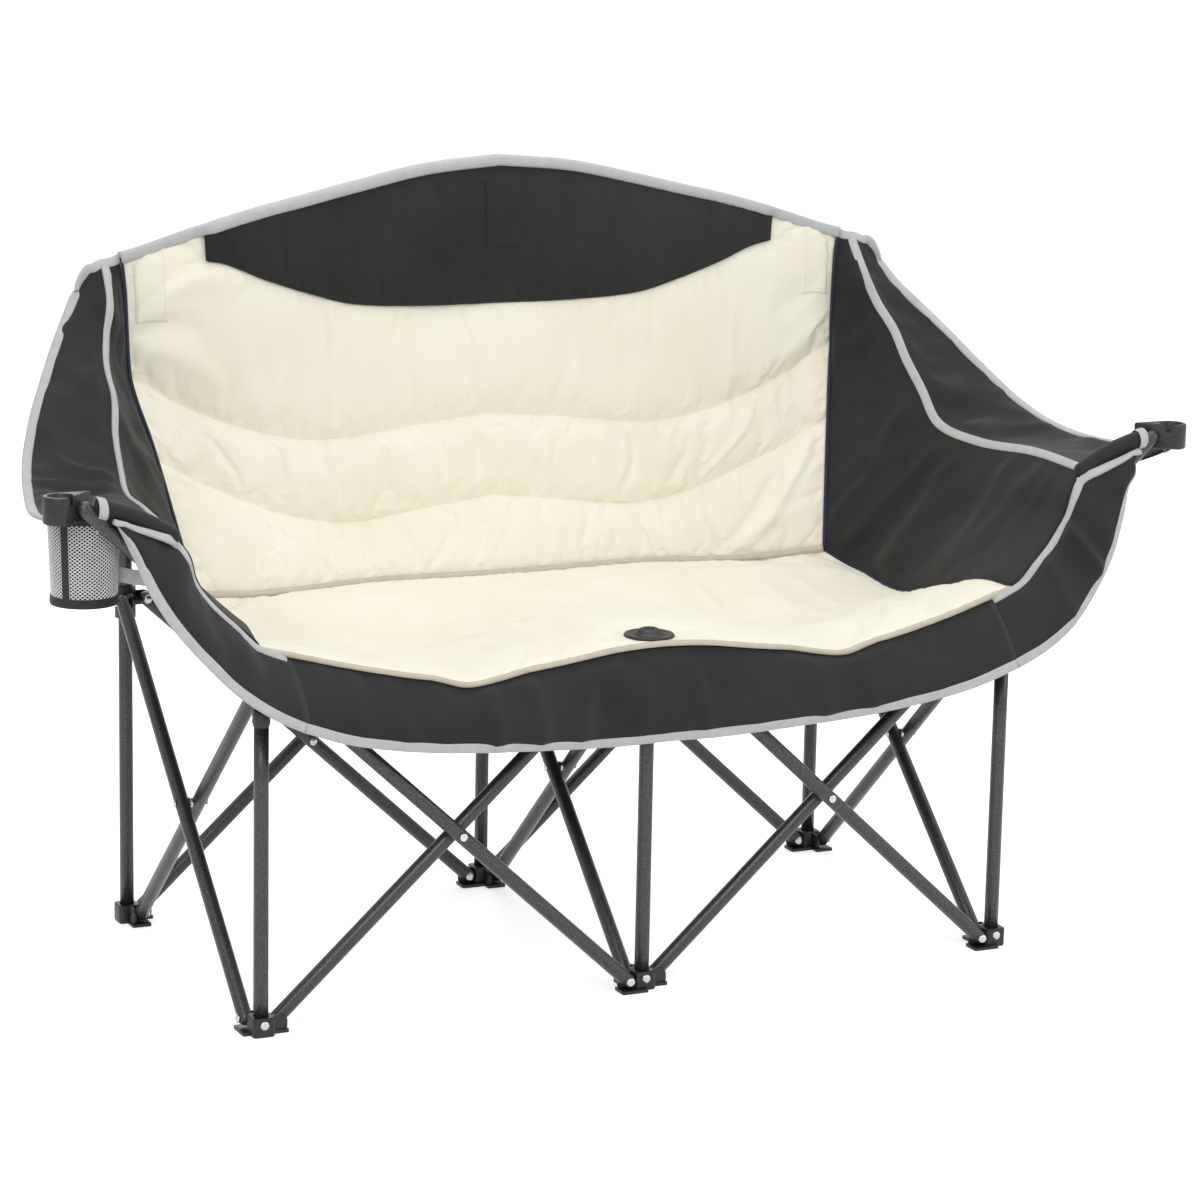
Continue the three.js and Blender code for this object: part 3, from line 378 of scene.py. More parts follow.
def moulded_plastic(name, code, roughness):
    """Plastic with a fine grain, and a finish that is a little uneven in tone and gloss."""
    material, nodes, links, shader = new_finish(name, {})
    pale = [min(1, c * 1.6 + 0.004) for c in shade(code)[:3]] + [1]
    place = added(nodes, "ShaderNodeTexCoord")
    grain = added(nodes, "ShaderNodeTexNoise", {"Scale": 1400})
    smear = added(nodes, "ShaderNodeTexNoise", {"Scale": 45})
    tone = added(nodes, "ShaderNodeMixRGB", {"Color1": shade(code), "Color2": pale})
    rough = added(nodes, "ShaderNodeMapRange", {"To Min": roughness - 0.08, "To Max": roughness + 0.1})
    bump = added(nodes, "ShaderNodeBump", {"Distance": 0.00012, "Strength": 0.5})
    wired(links, (place, "Object", grain, "Vector"), (place, "Object", smear, "Vector"))
    wired(links, (smear, "Fac", tone, "Fac"), (tone, "Color", shader, "Base Color"))
    wired(links, (smear, "Fac", rough, "Value"), (rough, "Result", shader, "Roughness"))
    wired(links, (grain, "Fac", bump, "Height"), (bump, "Normal", shader, "Normal"))
    return material


black_moulding = moulded_plastic("black_moulding", "#0d0d0e", 0.42)

for name, (body, x, y) in legs.items():
    kind = "front" if name.startswith("front") else ("middle" if name.endswith("centre") else "side")
    levels = np.linspace(post_bottom, post_tops[kind], 6)
    shape = swept(placed([(x, y, level) for level in levels]), tube_radius * MM, tube_sides, up=(1, 0, 0))
    post = piece_from(f"{name}_post_steel", shape, coated_steel, body)
    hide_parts(f"{name}_post")
    if kind == "front":
        levels, widths = np.array(collar_profile).T
        shape = swept(placed([(x, y, level) for level in levels]), widths * MM, tube_sides, up=(1, 0, 0))
        collar = piece_from(f"{name}_collar", shape, black_moulding, body)


# Feet and hubs
# Black nylon mouldings. Each carries a web with a rivet for every tube that is pinned to it.
# The CAD solids already have their shape, so each is copied, its edges are eased and it is grained.
edge_ease = 0.0006
ease_angle = math.radians(32)
weld_distance = 0.00002
bodies = frame["record"]["behaviour"]["bodies"]
node_body = {node: body for body, nodes in bodies.items() for node in nodes}


def made_plain(piece):
    """The mesh that a piece's modifiers make, kept without them."""
    made = bpy.data.meshes.new_from_object(piece.evaluated_get(bpy.context.evaluated_depsgraph_get()))
    piece.modifiers.clear()
    piece.data = made
    return made


def eased_copy(node, name, material):
    """A copy of a CAD node's mesh with merged corners and rounded edges, which replaces the node."""
    mesh = frame["nodes"][node].data.copy()
    piece = bpy.data.objects.new(name, mesh)
    bpy.context.collection.objects.link(piece)
    mesh.materials.clear()
    mesh.materials.append(material)
    piece.modifiers.new("weld", "WELD").merge_threshold = weld_distance
    bevel = piece.modifiers.new("ease", "BEVEL")
    bevel.width, bevel.segments, bevel.harden_normals = edge_ease, 2, True
    bevel.limit_method, bevel.angle_limit = "ANGLE", ease_angle
    eased = made_plain(piece)
    eased.polygons.foreach_set("use_smooth", [True] * len(eased.polygons))
    eased.set_sharp_from_angle(angle=ease_angle)
    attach(piece, node_body[node])
    return piece


for name in legs:
    for part in ("foot", "hub"):
        node = f"{name}_{part}"
        moulding = eased_copy(node, f"{node}_moulding", black_moulding)
        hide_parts(node)


# Rivets
# Zinc-plated steel rivets with low domed heads: one on each tube's pin, outside the tube,
# and one through each foot into its post. The pivots in mid-span are the CAD's own pins.
rivet_radius = 5.6
rivet_dome = 2.6
pin_offset = 24
layer_offset = 11
seat_gap = 0.3
head_face = layer_offset + tube_radius + seat_gap
foot_half = 14


def zinc_plate():
    material, nodes, links, shader = new_finish("zinc_plate", {"Metallic": 1})
    place = added(nodes, "ShaderNodeTexCoord")
    cloud = added(nodes, "ShaderNodeTexNoise", {"Scale": 260, "Detail": 4})
    tone = toned(nodes, "#a9a9a6", "#dededb")
    rough = added(nodes, "ShaderNodeMapRange", {"To Min": 0.22, "To Max": 0.42})
    wired(links, (place, "Object", cloud, "Vector"))
    wired(links, (cloud, "Fac", tone, "Fac"), (cloud, "Fac", rough, "Value"))
    wired(links, (tone, "Color", shader, "Base Color"), (rough, "Result", shader, "Roughness"))
    return material


bright_zinc = zinc_plate()


def new_tree(name, entries):
    """A node tree with named inputs that takes and gives a mesh, and what it is made with."""
    tree = bpy.data.node_groups.new(name, "GeometryNodeTree")
    tree.interface.new_socket("Geometry", in_out="INPUT", socket_type="NodeSocketGeometry")
    for entry, kind in entries.items():
        tree.interface.new_socket(entry, in_out="INPUT", socket_type=f"NodeSocket{kind}")
    tree.interface.new_socket("Geometry", in_out="OUTPUT", socket_type="NodeSocketGeometry")
    given, made = tree.nodes.new("NodeGroupInput"), tree.nodes.new("NodeGroupOutput")
    return tree, tree.nodes, tree.links, given, made


def headed_tree(name, material):
    """Puts a small round head on each point of a mesh, drawn out along the point's stored way."""
    entries = {"Across": "Float", "Along": "Float", "Sides": "Int", "Rings": "Int"}
    tree, nodes, links, given, made = new_tree(name, entries)
    ball = added(nodes, "GeometryNodeMeshUVSphere", {"Radius": 1})
    size = added(nodes, "ShaderNodeCombineXYZ")
    press = added(nodes, "GeometryNodeTransform")
    stored = "GeometryNodeInputNamedAttribute"
    outward = added(nodes, stored, {"Name": "outward"}, data_type="FLOAT_VECTOR")
    turn = added(nodes, "FunctionNodeAlignRotationToVector", axis="Z")
    spread = added(nodes, "GeometryNodeInstanceOnPoints")
    real = added(nodes, "GeometryNodeRealizeInstances")
    finish = added(nodes, "GeometryNodeSetMaterial", {"Material": material})
    wired(links, (given, "Sides", ball, "Segments"), (given, "Rings", ball, "Rings"))
    wired(links, (given, "Across", size, "X"), (given, "Across", size, "Y"), (given, "Along", size, "Z"))
    wired(links, (ball, "Mesh", press, "Geometry"), (size, 0, press, "Scale"))
    wired(links, (outward, "Attribute", turn, "Vector"), (turn, "Rotation", spread, "Rotation"))
    wired(links, (given, "Geometry", spread, "Points"), (press, "Geometry", spread, "Instance"))
    wired(links, (spread, "Instances", real, "Geometry"), (real, "Geometry", finish, "Geometry"))
    wired(links, (finish, "Geometry", made, "Geometry"))
    return tree


def set_input(modifier, name, value):
    for item in modifier.node_group.interface.items_tree:
        if item.item_type == "SOCKET" and item.in_out == "INPUT" and item.name == name:
            modifier[item.identifier] = value


def grown(name, points, outward, tree, inputs, body):
    """Runs a tree over points with an outward way each, and keeps the plain mesh that it makes."""
    seed = bpy.data.meshes.new(name)
    seed.from_pydata([tuple(p) for p in points], [], [])
    ways = seed.attributes.new("outward", "FLOAT_VECTOR", "POINT")
    ways.data.foreach_set("vector", np.asarray(outward, float).ravel())
    piece = bpy.data.objects.new(name, seed)
    bpy.context.collection.objects.link(piece)
    modifier = piece.modifiers.new("grow", "NODES")
    modifier.node_group = tree
    for key, value in inputs.items():
        set_input(modifier, key, value)
    made = made_plain(piece)
    made.polygons.foreach_set("use_smooth", [True] * len(made.polygons))
    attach(piece, body)
    return piece


# Each leg's tubes: the way that the pin lies from the leg, and the side that its tube lies on
left, right, rearward, forward = (-1, 0), (1, 0), (0, 1), (0, -1)
foot_pins = {
    "front_left": ((right, 1), (rearward, -1)),
    "front_centre": ((left, -1), (right, 1), (rearward, -1)),
    "front_right": ((left, -1), (rearward, -1)),
    "rear_left": ((right, 1), (forward, 1)),
    "rear_centre": ((left, -1), (right, 1), (forward, 1)),
    "rear_right": ((left, -1), (forward, 1)),
}
hub_pins = {name: tuple((way, -side) for way, side in pins) for name, pins in foot_pins.items()}
rivet_heads = headed_tree("rivet_heads", bright_zinc)
rivet_sizes = {"Across": rivet_radius * MM, "Along": rivet_dome * MM, "Sides": 20, "Rings": 12}

for name, (_, x, y) in legs.items():
    for part, pins, height in (("foot", foot_pins, pin_height), ("hub", hub_pins, hub_height)):
        spots, ways = [], []
        for (dx, dy), side in pins[name]:
            way = (abs(dy) * side, abs(dx) * side, 0)
            pin_x, pin_y = x + dx * pin_offset, y + dy * pin_offset
            spots.append((pin_x + way[0] * head_face, pin_y + way[1] * head_face, height))
            ways.append(way)
        if part == "foot":
            front = -1 if name.startswith("front") else 1
            spots.append((x, y + front * foot_half, height))
            ways.append((0, front, 0))
        node = f"{name}_{part}"
        heads = grown(f"{node}_rivets", placed(spots), ways, rivet_heads, rivet_sizes, node_body[node])

for node in frame["nodes"]:
    if node.endswith("cross_rivet"):
        pin = eased_copy(node, f"{node}_zinc", bright_zinc)
        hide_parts(node)


# Seat pad
# One quilted pad of cream polyester over thin foam, sewn to the back pad and slung from the hubs.
# It is made here as a front and a rear half, so that it can draw together as the sofa folds.
depth = 500
seat_pad_thickness = 9
back_pad_thickness = 13
pad_edge = 5
lift_reach = 110
lift_height = 5
seat_front = -35.5
back_rest = 483.3
line_places = [0, 0.25, 0.5, 0.75, 1]
seat_net = {
    "places": [0, 0.14, 0.28, 0.42, 0.5, 0.56, 0.65, 0.8, 0.92, 1],
    "lines": [
        [1.066, 1.06, 1.02, 0.983, 0.972, 0.99, 1.024, 1.098, 1.165, 1.205],
        [1.073, 1.05, 1.008, 0.972, 0.962, 0.975, 0.998, 1.056, 1.13, 1.18],
        [1.023, 0.988, 0.956, 0.928, 0.921, 0.923, 0.932, 0.951, 0.974, 0.993],
        [1.032, 0.998, 0.974, 0.956, 0.951, 0.951, 0.96, 0.974, 0.993, 1.009],
        [1.05, 1.05, 1.055, 1.059, 1.055, 1.05, 1.045, 1.05, 1.077, 1.105],
    ],
    "widths": [1.03, 0.994, 0.97, 0.952, 0.894],
    "depths": [seat_front / depth, 0.13, 0.41, 0.66, 0.87],
    "side_depths": [-0.008, 0.14, 0.41, 0.66, 0.77],
}
seat_columns = 144
seat_rows = 72
seat_fall = 0.06
seat_pressure = 3.5
seat_spare = 0.012
seat_swell_cap = 5
button_still = 34
button_slope = 26
button_floor = 445.3
seat_crease = 2.6
noise_cells = 32
warp_pitch, ridge_pitch, wide_pitch, small_pitch = 160, 55, 140, 24
warp_reach = 90
wave_pitch = 3.18  # a wave texture's scale for one thread or rib per unit
sim_steps = 20
sim_quality = 5
cloth_mass = 0.2
cloth_bending = 0.15
width_keep = 0.19
whole_width = ((1, 0, 0), (0, 0, 0), width_keep)


def stretched(share, steps):
    """A place on a ladder of steps; shares past the last step run on in a straight line."""
    share, steps = np.asarray(share, float), np.asarray(steps, float)
    low = np.clip(np.floor(share).astype(int), 0, len(steps) - 2)
    return steps[low] + (share - low) * (steps[low + 1] - steps[low])


def across(share):
    return stretched(share, [0, bay, arm_reach])


def upwards(share):
    return stretched(share, [0, hub_height, arm_height, post_side_top])


def soft_step(t):
    """Rises from 0 to 1 with a soft start and a soft end."""
    return t * t * (3 - 2 * t)


def hermite(t, first, start, last, end):
    """A smooth way from one value to the next that sets out and arrives at given slopes."""
    value = (2 * t**3 - 3 * t**2 + 1) * first + (t**3 - 2 * t**2 + t) * start
    return value + (3 * t**2 - 2 * t**3) * last + (t**3 - t**2) * end


def eased(places, table, share):
    """Values at shares of a smooth line through a table's places; a table may hold a value per share."""
    places, table = np.asarray(places, float), np.asarray(table, float)
    share = np.clip(np.asarray(share, float), places[0], places[-1])
    here = np.clip(np.searchsorted(places, share, side="right") - 1, 0, len(places) - 2)
    low, high = np.maximum(here - 1, 0), np.minimum(here + 2, len(places) - 1)

    def at(index):
        return table[index] if table.ndim == 1 else np.take_along_axis(table, index[None], 0)[0]

    step = places[here + 1] - places[here]
    t = (share - places[here]) / step
    start = (at(here + 1) - at(low)) / (places[here + 1] - places[low]) * step
    end = (at(high) - at(here)) / (places[high] - places[here]) * step
    return hermite(t, at(here), start, at(here + 1), end)


def spanned(s, v, net):
    """A point of a slung pad, from its share across and its share from front to back."""
    s, v = np.broadcast_arrays(np.asarray(s, float), np.asarray(v, float))
    out = np.abs(s)
    bend = out**4
    heights = np.stack([eased(net["places"], line, out) for line in net["lines"]])
    x = s * across(eased(line_places, net["widths"], v))
    inner, outer = (eased(line_places, net[key], v) for key in ("depths", "side_depths"))
    y = inner * (1 - bend) + outer * bend
    return np.stack([x, y * depth, upwards(eased(line_places, heights, v))], -1)


def seat_point(s, v):
    """The middle of the seat pad's thickness. The pad is drawn up flat over the middle hub."""
    point = spanned(s, v, seat_net)
    away = np.minimum(np.hypot(point[..., 0], point[..., 1]) / lift_reach, 1)
    point[..., 2] += lift_height * (1 - soft_step(away)) - seat_pad_thickness / 2
    return point


def grid_of(surface, columns, rows):
    u, v = np.meshgrid(np.linspace(0, 1, columns + 1), np.linspace(0, 1, rows + 1))
    return surface(u, v), u, v


def at_edge(u, v):
    return (u == 0) | (u == 1) | (v == 0) | (v == 1)


def inwards(u, v, fall):
    """0 at a pad's edge and 1 from a share of its width inwards."""
    return np.minimum(np.minimum(np.minimum(u, 1 - u), np.minimum(v, 1 - v)) / fall, 1)


def normals_of(grid):
    along = np.gradient(grid, axis=1)
    upward = np.gradient(grid, axis=0)
    normal = np.cross(along, upward)
    return normal / np.maximum(np.linalg.norm(normal, axis=-1, keepdims=True), 1e-9)


def border_of(rows, columns):
    """The indices round a grid's edge, anticlockwise as seen from its upper side."""
    loop = [(0, c) for c in range(columns)] + [(r, columns - 1) for r in range(1, rows)]
    loop += [(rows - 1, c) for c in range(columns - 2, -1, -1)] + [(r, 0) for r in range(rows - 2, 0, -1)]
    return np.array(loop)


def closed_shell(top, bottom, rim):
    """Points, faces and UVs of two layers of a grid, joined round a rim that bulges outwards."""
    rows, columns = top.shape[:2]
    count = rows * columns
    loop = border_of(rows, columns)
    middle = (top + bottom) / 2
    inner = np.stack([np.clip(loop[:, 0], 1, rows - 2), np.clip(loop[:, 1], 1, columns - 2)], -1)
    edge = middle[loop[:, 0], loop[:, 1]]
    outward = edge - middle[inner[:, 0], inner[:, 1]]
    outward /= np.maximum(np.linalg.norm(outward, axis=1, keepdims=True), 1e-9)
    points = np.concatenate([top.reshape(-1, 3), bottom.reshape(-1, 3), edge + outward * rim])
    r, c = np.meshgrid(np.arange(rows - 1), np.arange(columns - 1), indexing="ij")
    first = (r * columns + c).ravel()
    quads = np.stack([first, first + 1, first + columns + 1, first + columns], -1)
    ring = loop[:, 0] * columns + loop[:, 1]
    after = np.roll(ring, -1)
    rim_ring = 2 * count + np.arange(len(ring))
    rim_after = np.roll(rim_ring, -1)
    low_wall = np.stack([ring + count, after + count, rim_after, rim_ring], -1)
    high_wall = np.stack([rim_ring, rim_after, after, ring], -1)
    faces = np.concatenate([quads, quads[:, ::-1] + count, low_wall, high_wall])
    steps_u = np.linalg.norm(np.diff(middle, axis=1), axis=-1).mean(axis=0)
    steps_v = np.linalg.norm(np.diff(middle, axis=0), axis=-1).mean(axis=1)
    run_u, run_v = np.concatenate([[0], np.cumsum(steps_u)]), np.concatenate([[0], np.cumsum(steps_v)])
    flat = np.stack(np.meshgrid(run_u, run_v), -1).reshape(-1, 2)
    return points, faces, np.concatenate([flat, flat, flat[ring]])


def settled(name, top, bottom, still, pressure, spare, cap):
    """The top layer once it is blown up between its seams; a little spare cloth lets it pucker."""
    rows, columns = top.shape[:2]
    points, faces, _ = closed_shell(top, bottom, MM)
    mesh = bpy.data.meshes.new(name)
    mesh.from_pydata([tuple(p) for p in points], [], [tuple(map(int, f)) for f in faces])
    pad = bpy.data.objects.new(name, mesh)
    bpy.context.collection.objects.link(pad)
    held = pad.vertex_groups.new(name="held")
    fixed = np.ones(len(points), bool)
    fixed[: rows * columns] = still.ravel()
    held.add([int(i) for i in np.flatnonzero(fixed)], 1, "REPLACE")
    cloth = pad.modifiers.new("cloth", "CLOTH").settings
    cloth.vertex_group_mass = "held"
    cloth.quality, cloth.mass, cloth.bending_stiffness = sim_quality, cloth_mass, cloth_bending
    cloth.use_pressure = True
    cloth.uniform_pressure_force = pressure
    cloth.shrink_min = -spare
    cloth.effector_weights.gravity = 0
    for step in range(sim_steps):
        bpy.context.scene.frame_set(step + 1)
    ready = pad.evaluated_get(bpy.context.evaluated_depsgraph_get()).data
    moved = np.empty(len(points) * 3)
    ready.vertices.foreach_get("co", moved)
    shift = moved.reshape(-1, 3)[: rows * columns].reshape(top.shape) - top
    length = np.linalg.norm(shift, axis=-1, keepdims=True)
    shift *= cap * np.tanh(length / cap) / np.maximum(length, 1e-9)
    bpy.data.objects.remove(pad)
    bpy.context.scene.frame_set(1)
    return top + shift


def finer(grid):
    """Halves a grid's cells, on a smooth surface through its points."""
    for axis in (0, 1):
        line = np.moveaxis(grid, axis, 0)
        before = np.concatenate([2 * line[:1] - line[1:2], line[:-2]])
        after = np.concatenate([line[2:], 2 * line[-1:] - line[-2:-1]])
        middle = (9 * (line[:-1] + line[1:]) - before - after) / 16
        full = np.empty((2 * len(line) - 1, *line.shape[1:]))
        full[::2], full[1::2] = line, middle
        grid = np.moveaxis(full, 0, axis)
    return grid


def cloth_noise(points, scale, seed):
    """Smooth noise between 0 and 1 at points, the same in every run."""
    lattice = np.random.default_rng(seed).random((noise_cells, noise_cells, noise_cells))
    place = np.asarray(points, float) * scale + 100
    low = np.floor(place).astype(int)
    t = soft_step(place - low)
    total = 0
    for dx in (0, 1):
        for dy in (0, 1):
            for dz in (0, 1):
                weight = np.ones(t.shape[:-1])
                for axis, step in enumerate((dx, dy, dz)):
                    weight = weight * (t[..., axis] if step else 1 - t[..., axis])
                index = (low + (dx, dy, dz)) % noise_cells
                total = total + weight * lattice[index[..., 0], index[..., 1], index[..., 2]]
    return total


def folds(grid, amount, seed, lengthwise=0.35):
    """Soft drag folds: ridges that run across the grid's rows, and fade out at its sewn edges."""
    rows, columns = grid.shape[:2]
    u, v = np.meshgrid(np.linspace(0, 1, columns), np.linspace(0, 1, rows))
    width = np.linalg.norm(np.diff(grid, axis=1), axis=-1).sum(axis=1).mean()
    height = np.linalg.norm(np.diff(grid, axis=0), axis=-1).sum(axis=0).mean()
    flat = np.stack([u * width, v * height * lengthwise, np.zeros_like(u)], -1)
    warp = cloth_noise(flat, 1 / warp_pitch, seed) - 0.5
    flat[..., 0] += warp_reach * warp
    ridge = 1 - np.abs(2 * cloth_noise(flat, 1 / ridge_pitch, seed + 1) - 1)
    wide = cloth_noise(flat, 1 / wide_pitch, seed + 2)
    small = cloth_noise(flat * (1, 2.2, 1), 1 / small_pitch, seed + 3)
    fade = soft_step(np.clip(np.minimum(np.minimum(u, 1 - u) * 7, np.minimum(v, 1 - v) * 5), 0, 1))
    return amount * fade * (0.9 * ridge**2 * wide * 2 + 0.8 * (wide - 0.5) + 0.6 * (small - 0.5))


def woven_cloth(name, dark, light, thread, relief, roughness, sheen, streak=0.0):
    """A plain or twill weave on the piece's own UV, with soft uneven dye and a little fuzz."""
    plain = {"Roughness": roughness, "Sheen Weight": sheen}
    plain |= {"Sheen Roughness": 0.5, "Specular IOR Level": 0.25}
    material, nodes, links, shader = new_finish(name, plain)
    place = added(nodes, "ShaderNodeTexCoord")
    slant = added(nodes, "ShaderNodeMapping", {"Rotation": (0, 0, math.radians(streak))})
    weave = added(nodes, "ShaderNodeMath", operation="MULTIPLY")
    wired(links, (place, "UV", slant, "Vector"))
    threads = {"Scale": 1 / (thread * wave_pitch), "Distortion": 0.6, "Detail Scale": 2.5}
    for entry, direction in enumerate(("X", "Y")):
        wave = added(nodes, "ShaderNodeTexWave", threads, bands_direction=direction)
        wired(links, (slant, "Vector", wave, "Vector"), (wave, "Fac", weave, entry))
    dye = added(nodes, "ShaderNodeTexNoise", {"Scale": 7, "Detail": 5})
    slub = added(nodes, "ShaderNodeTexNoise", {"Scale": 420})
    rumple = added(nodes, "ShaderNodeTexNoise", {"Scale": 60, "Detail": 4})
    dyed = added(nodes, "ShaderNodeMath", {1: 0.45}, operation="MULTIPLY_ADD")
    uneven = added(nodes, "ShaderNodeMath", {1: 0.3}, operation="MULTIPLY_ADD")
    tone = toned(nodes, dark, light, 0.35)
    bump = added(nodes, "ShaderNodeBump", {"Distance": relief, "Strength": 0.55})
    soft = added(nodes, "ShaderNodeBump", {"Distance": 0.0012, "Strength": 0.35})
    for noisy in (dye, slub, rumple):
        wired(links, (place, "Object", noisy, "Vector"))
    wired(links, (weave, 0, dyed, 0), (dye, "Fac", dyed, 2))
    wired(links, (slub, "Fac", uneven, 0), (dyed, 0, uneven, 2))
    wired(links, (uneven, 0, tone, "Fac"), (tone, "Color", shader, "Base Color"))
    wired(links, (weave, 0, bump, "Height"), (rumple, "Fac", soft, "Height"))
    wired(links, (bump, "Normal", soft, "Normal"), (soft, "Normal", shader, "Normal"))
    return material


cream_cloth = woven_cloth("cream_polyester", "#f0ead3", "#faf6e6", 0.0009, 0.00016, 0.82, 0.15)


def seat_layers():
    """Upper and lower layers of the whole seat pad, and which points its seams hold."""
    middle, u, v = grid_of(lambda a, b: seat_point(2 * a - 1, b), seat_columns, seat_rows)
    thick = pad_edge + (seat_pad_thickness - pad_edge) * np.sin(inwards(u, v, seat_fall) * math.pi / 2)
    normal = normals_of(middle)
    half = normal * thick[..., None] / 2
    away = np.hypot(middle[..., 0], middle[..., 1])
    pressed = soft_step(np.clip((button_still + button_slope - away) / button_slope, 0, 1))
    top = middle + half + normal * (folds(middle, seat_crease, 71) * (1 - pressed))[..., None]
    top[..., 2] += (np.minimum(top[..., 2], button_floor) - top[..., 2]) * pressed
    return placed(top), placed(middle - half), at_edge(u, v) | (away < button_still)


seat_top, seat_under, seat_still = seat_layers()
seat_cap = seat_swell_cap * MM
seat_top = settled("seat_cloth", seat_top, seat_under, seat_still, seat_pressure, seat_spare, seat_cap)
seat_top, seat_under = finer(seat_top), finer(seat_under)
seat_halves = (
    ("seat_pad_front", "middle_rear_tube", slice(0, seat_rows + 1)),
    ("seat_pad_rear", "middle_front_tube", slice(seat_rows, None)),
)

for node, body, rows in seat_halves:
    shape = closed_shell(seat_top[rows], seat_under[rows], 0.0)
    pad = piece_from(f"{node}_cloth", shape, cream_cloth, body)
    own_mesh(pad)
    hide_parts(node)


# Back pad
# Two layers of cream cloth over foam, quilted along two curved lines, so that it puffs up and
# puckers between them. It hangs from the three rear posts.
back_net = {
    "places": [0, 0.2, 0.4, 0.52, 0.64, 0.76, 0.88, 0.95, 1],
    "lines": [
        [1.05, 1.055, 1.059, 1.055, 1.05, 1.045, 1.052, 1.077, 1.105],
        [1.495, 1.441, 1.386, 1.409, 1.477, 1.586, 1.709, 1.8, 1.859],
        [1.986, 1.941, 1.886, 1.886, 1.941, 2.029, 2.16, 2.267, 2.325],
        [2.684, 2.684, 2.714, 2.791, 2.89, 3.005, 3.01, 2.94, 2.85],
        [3.614, 3.568, 3.465, 3.396, 3.329, 3.25, 3.159, 3.105, 3.074],
    ],
    "widths": [0.894, 0.956, 1.0, 1.02, 1.046],
    "depths": [0.87, 0.95, back_rest / depth, back_rest / depth, back_rest / depth],
    "side_depths": [0.77, 0.886, 0.962, 0.974, 0.974],
}
back_columns = 152
back_rows = 112
quilt_places = (0.25, 0.5)
quilt_width = 0.03
quilt_depth = 6
pad_fall = 0.12
back_pressure = 4
back_spare = 0.022
back_swell_cap = 9
back_crease = 2.2
crease_size = (1020, 430)
crease_bow = 0.3
crease_gain = 1.4
still_above = 0.97
headrest_margin = 0.01
back_creases = [
    (0.985, 0.23, 0.865, 0.02, 4.5, 9), (0.93, 0.19, 0.82, 0.01, -3, 11),
    (0.885, 0.46, 0.81, 0.27, 4, 9), (0.79, 0.45, 0.755, 0.3, -2.5, 9),
    (0.69, 0.48, 0.675, 0.28, 3, 8), (0.635, 0.46, 0.655, 0.29, -2.5, 9),
    (0.68, 0.22, 0.735, 0.04, 3, 8), (0.64, 0.23, 0.62, 0.06, -2.5, 9),
    (0.87, 0.045, 0.99, 0.07, 3.5, 8), (0.995, 0.6, 0.88, 0.53, 3, 8),
    (0.98, 0.67, 0.9, 0.63, -2.5, 10), (0.005, 0.62, 0.16, 0.73, 4.5, 9),
    (0.005, 0.6, 0.1, 0.63, -3.5, 8), (0.01, 0.57, 0.13, 0.56, 3, 9),
    (0.335, 0.47, 0.3, 0.26, 3.5, 9), (0.475, 0.47, 0.47, 0.3, -2.5, 8),
    (0.515, 0.24, 0.46, 0.03, 3.5, 8), (0.44, 0.2, 0.37, 0.02, -3, 9),
    (0.405, 0.46, 0.42, 0.33, 2.5, 9), (0.09, 0.44, 0.13, 0.28, -3, 10),
    (0.56, 0.4, 0.59, 0.28, 2.5, 8), (0.24, 0.7, 0.19, 0.54, 3, 10),
    (0.17, 0.2, 0.24, 0.05, 2.5, 9),
]
headrest_low = 0.755
headrest_high = 0.985
headrest_width = 0.79


def back_point(s, v):
    return spanned(s, v, back_net)


def crowned(u, v, full):
    return pad_edge + (full - pad_edge) * np.sin(inwards(u, v, pad_fall) * math.pi / 2)


def crease_lines(u, v, lines, size):
    """Sharp drag folds along given lines across a cloth: each is high in its middle and fades out."""
    height = np.zeros_like(u)
    for u0, v0, u1, v1, high, wide in lines:
        start, way = np.array((u0, v0)) * size, (np.array((u1, v1)) - (u0, v0)) * size
        off = np.stack([u * size[0] - start[0], v * size[1] - start[1]], -1)
        t = np.clip(off @ way / (way @ way), 0, 1)
        bow = crease_bow * np.linalg.norm(way) * t * (1 - t)
        side = (off[..., 1] * way[0] - off[..., 0] * way[1]) / np.linalg.norm(way)
        past = np.linalg.norm(off - t[..., None] * way, axis=-1) ** 2 - side**2
        away = np.sqrt(np.maximum(past, 0) + (side - bow) ** 2)
        height += high * np.exp(-((away / wide) ** 2)) * (4 * t * (1 - t)) ** 0.6
    return crease_gain * height


def back_layers():
    middle, u, v = grid_of(lambda a, b: back_point(2 * a - 1, b), back_columns, back_rows)
    nearest = np.min([np.abs(v - place) for place in quilt_places], axis=0)
    sunk = np.maximum(0, 1 - nearest / quilt_width) ** 1.5
    thick = crowned(u, v, back_pad_thickness)
    normal = normals_of(middle)
    creases = folds(middle, back_crease, 81) + crease_lines(u, v, back_creases, crease_size)
    front = middle + normal * (thick / 2 - quilt_depth * sunk + creases * (1 - sunk))[..., None]
    sewn = at_edge(u, v) | (v > still_above) | (nearest < 1e-6)
    sewn |= (np.abs(2 * u - 1) < headrest_width + headrest_margin) & (v > headrest_low - headrest_margin)
    return placed(front), placed(middle - normal * thick[..., None] / 2), sewn


back_front, back_rear, back_still = back_layers()
back_cap = back_swell_cap * MM
back_front = settled("back_cloth", back_front, back_rear, back_still, back_pressure, back_spare, back_cap)
back_front, back_rear = finer(back_front), finer(back_rear)
shape = closed_shell(back_front, back_rear, MM)
back_pad = piece_from("back_pad_cloth", shape, cream_cloth, "rear_centre_leg")
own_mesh(back_pad)
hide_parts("back_pad")


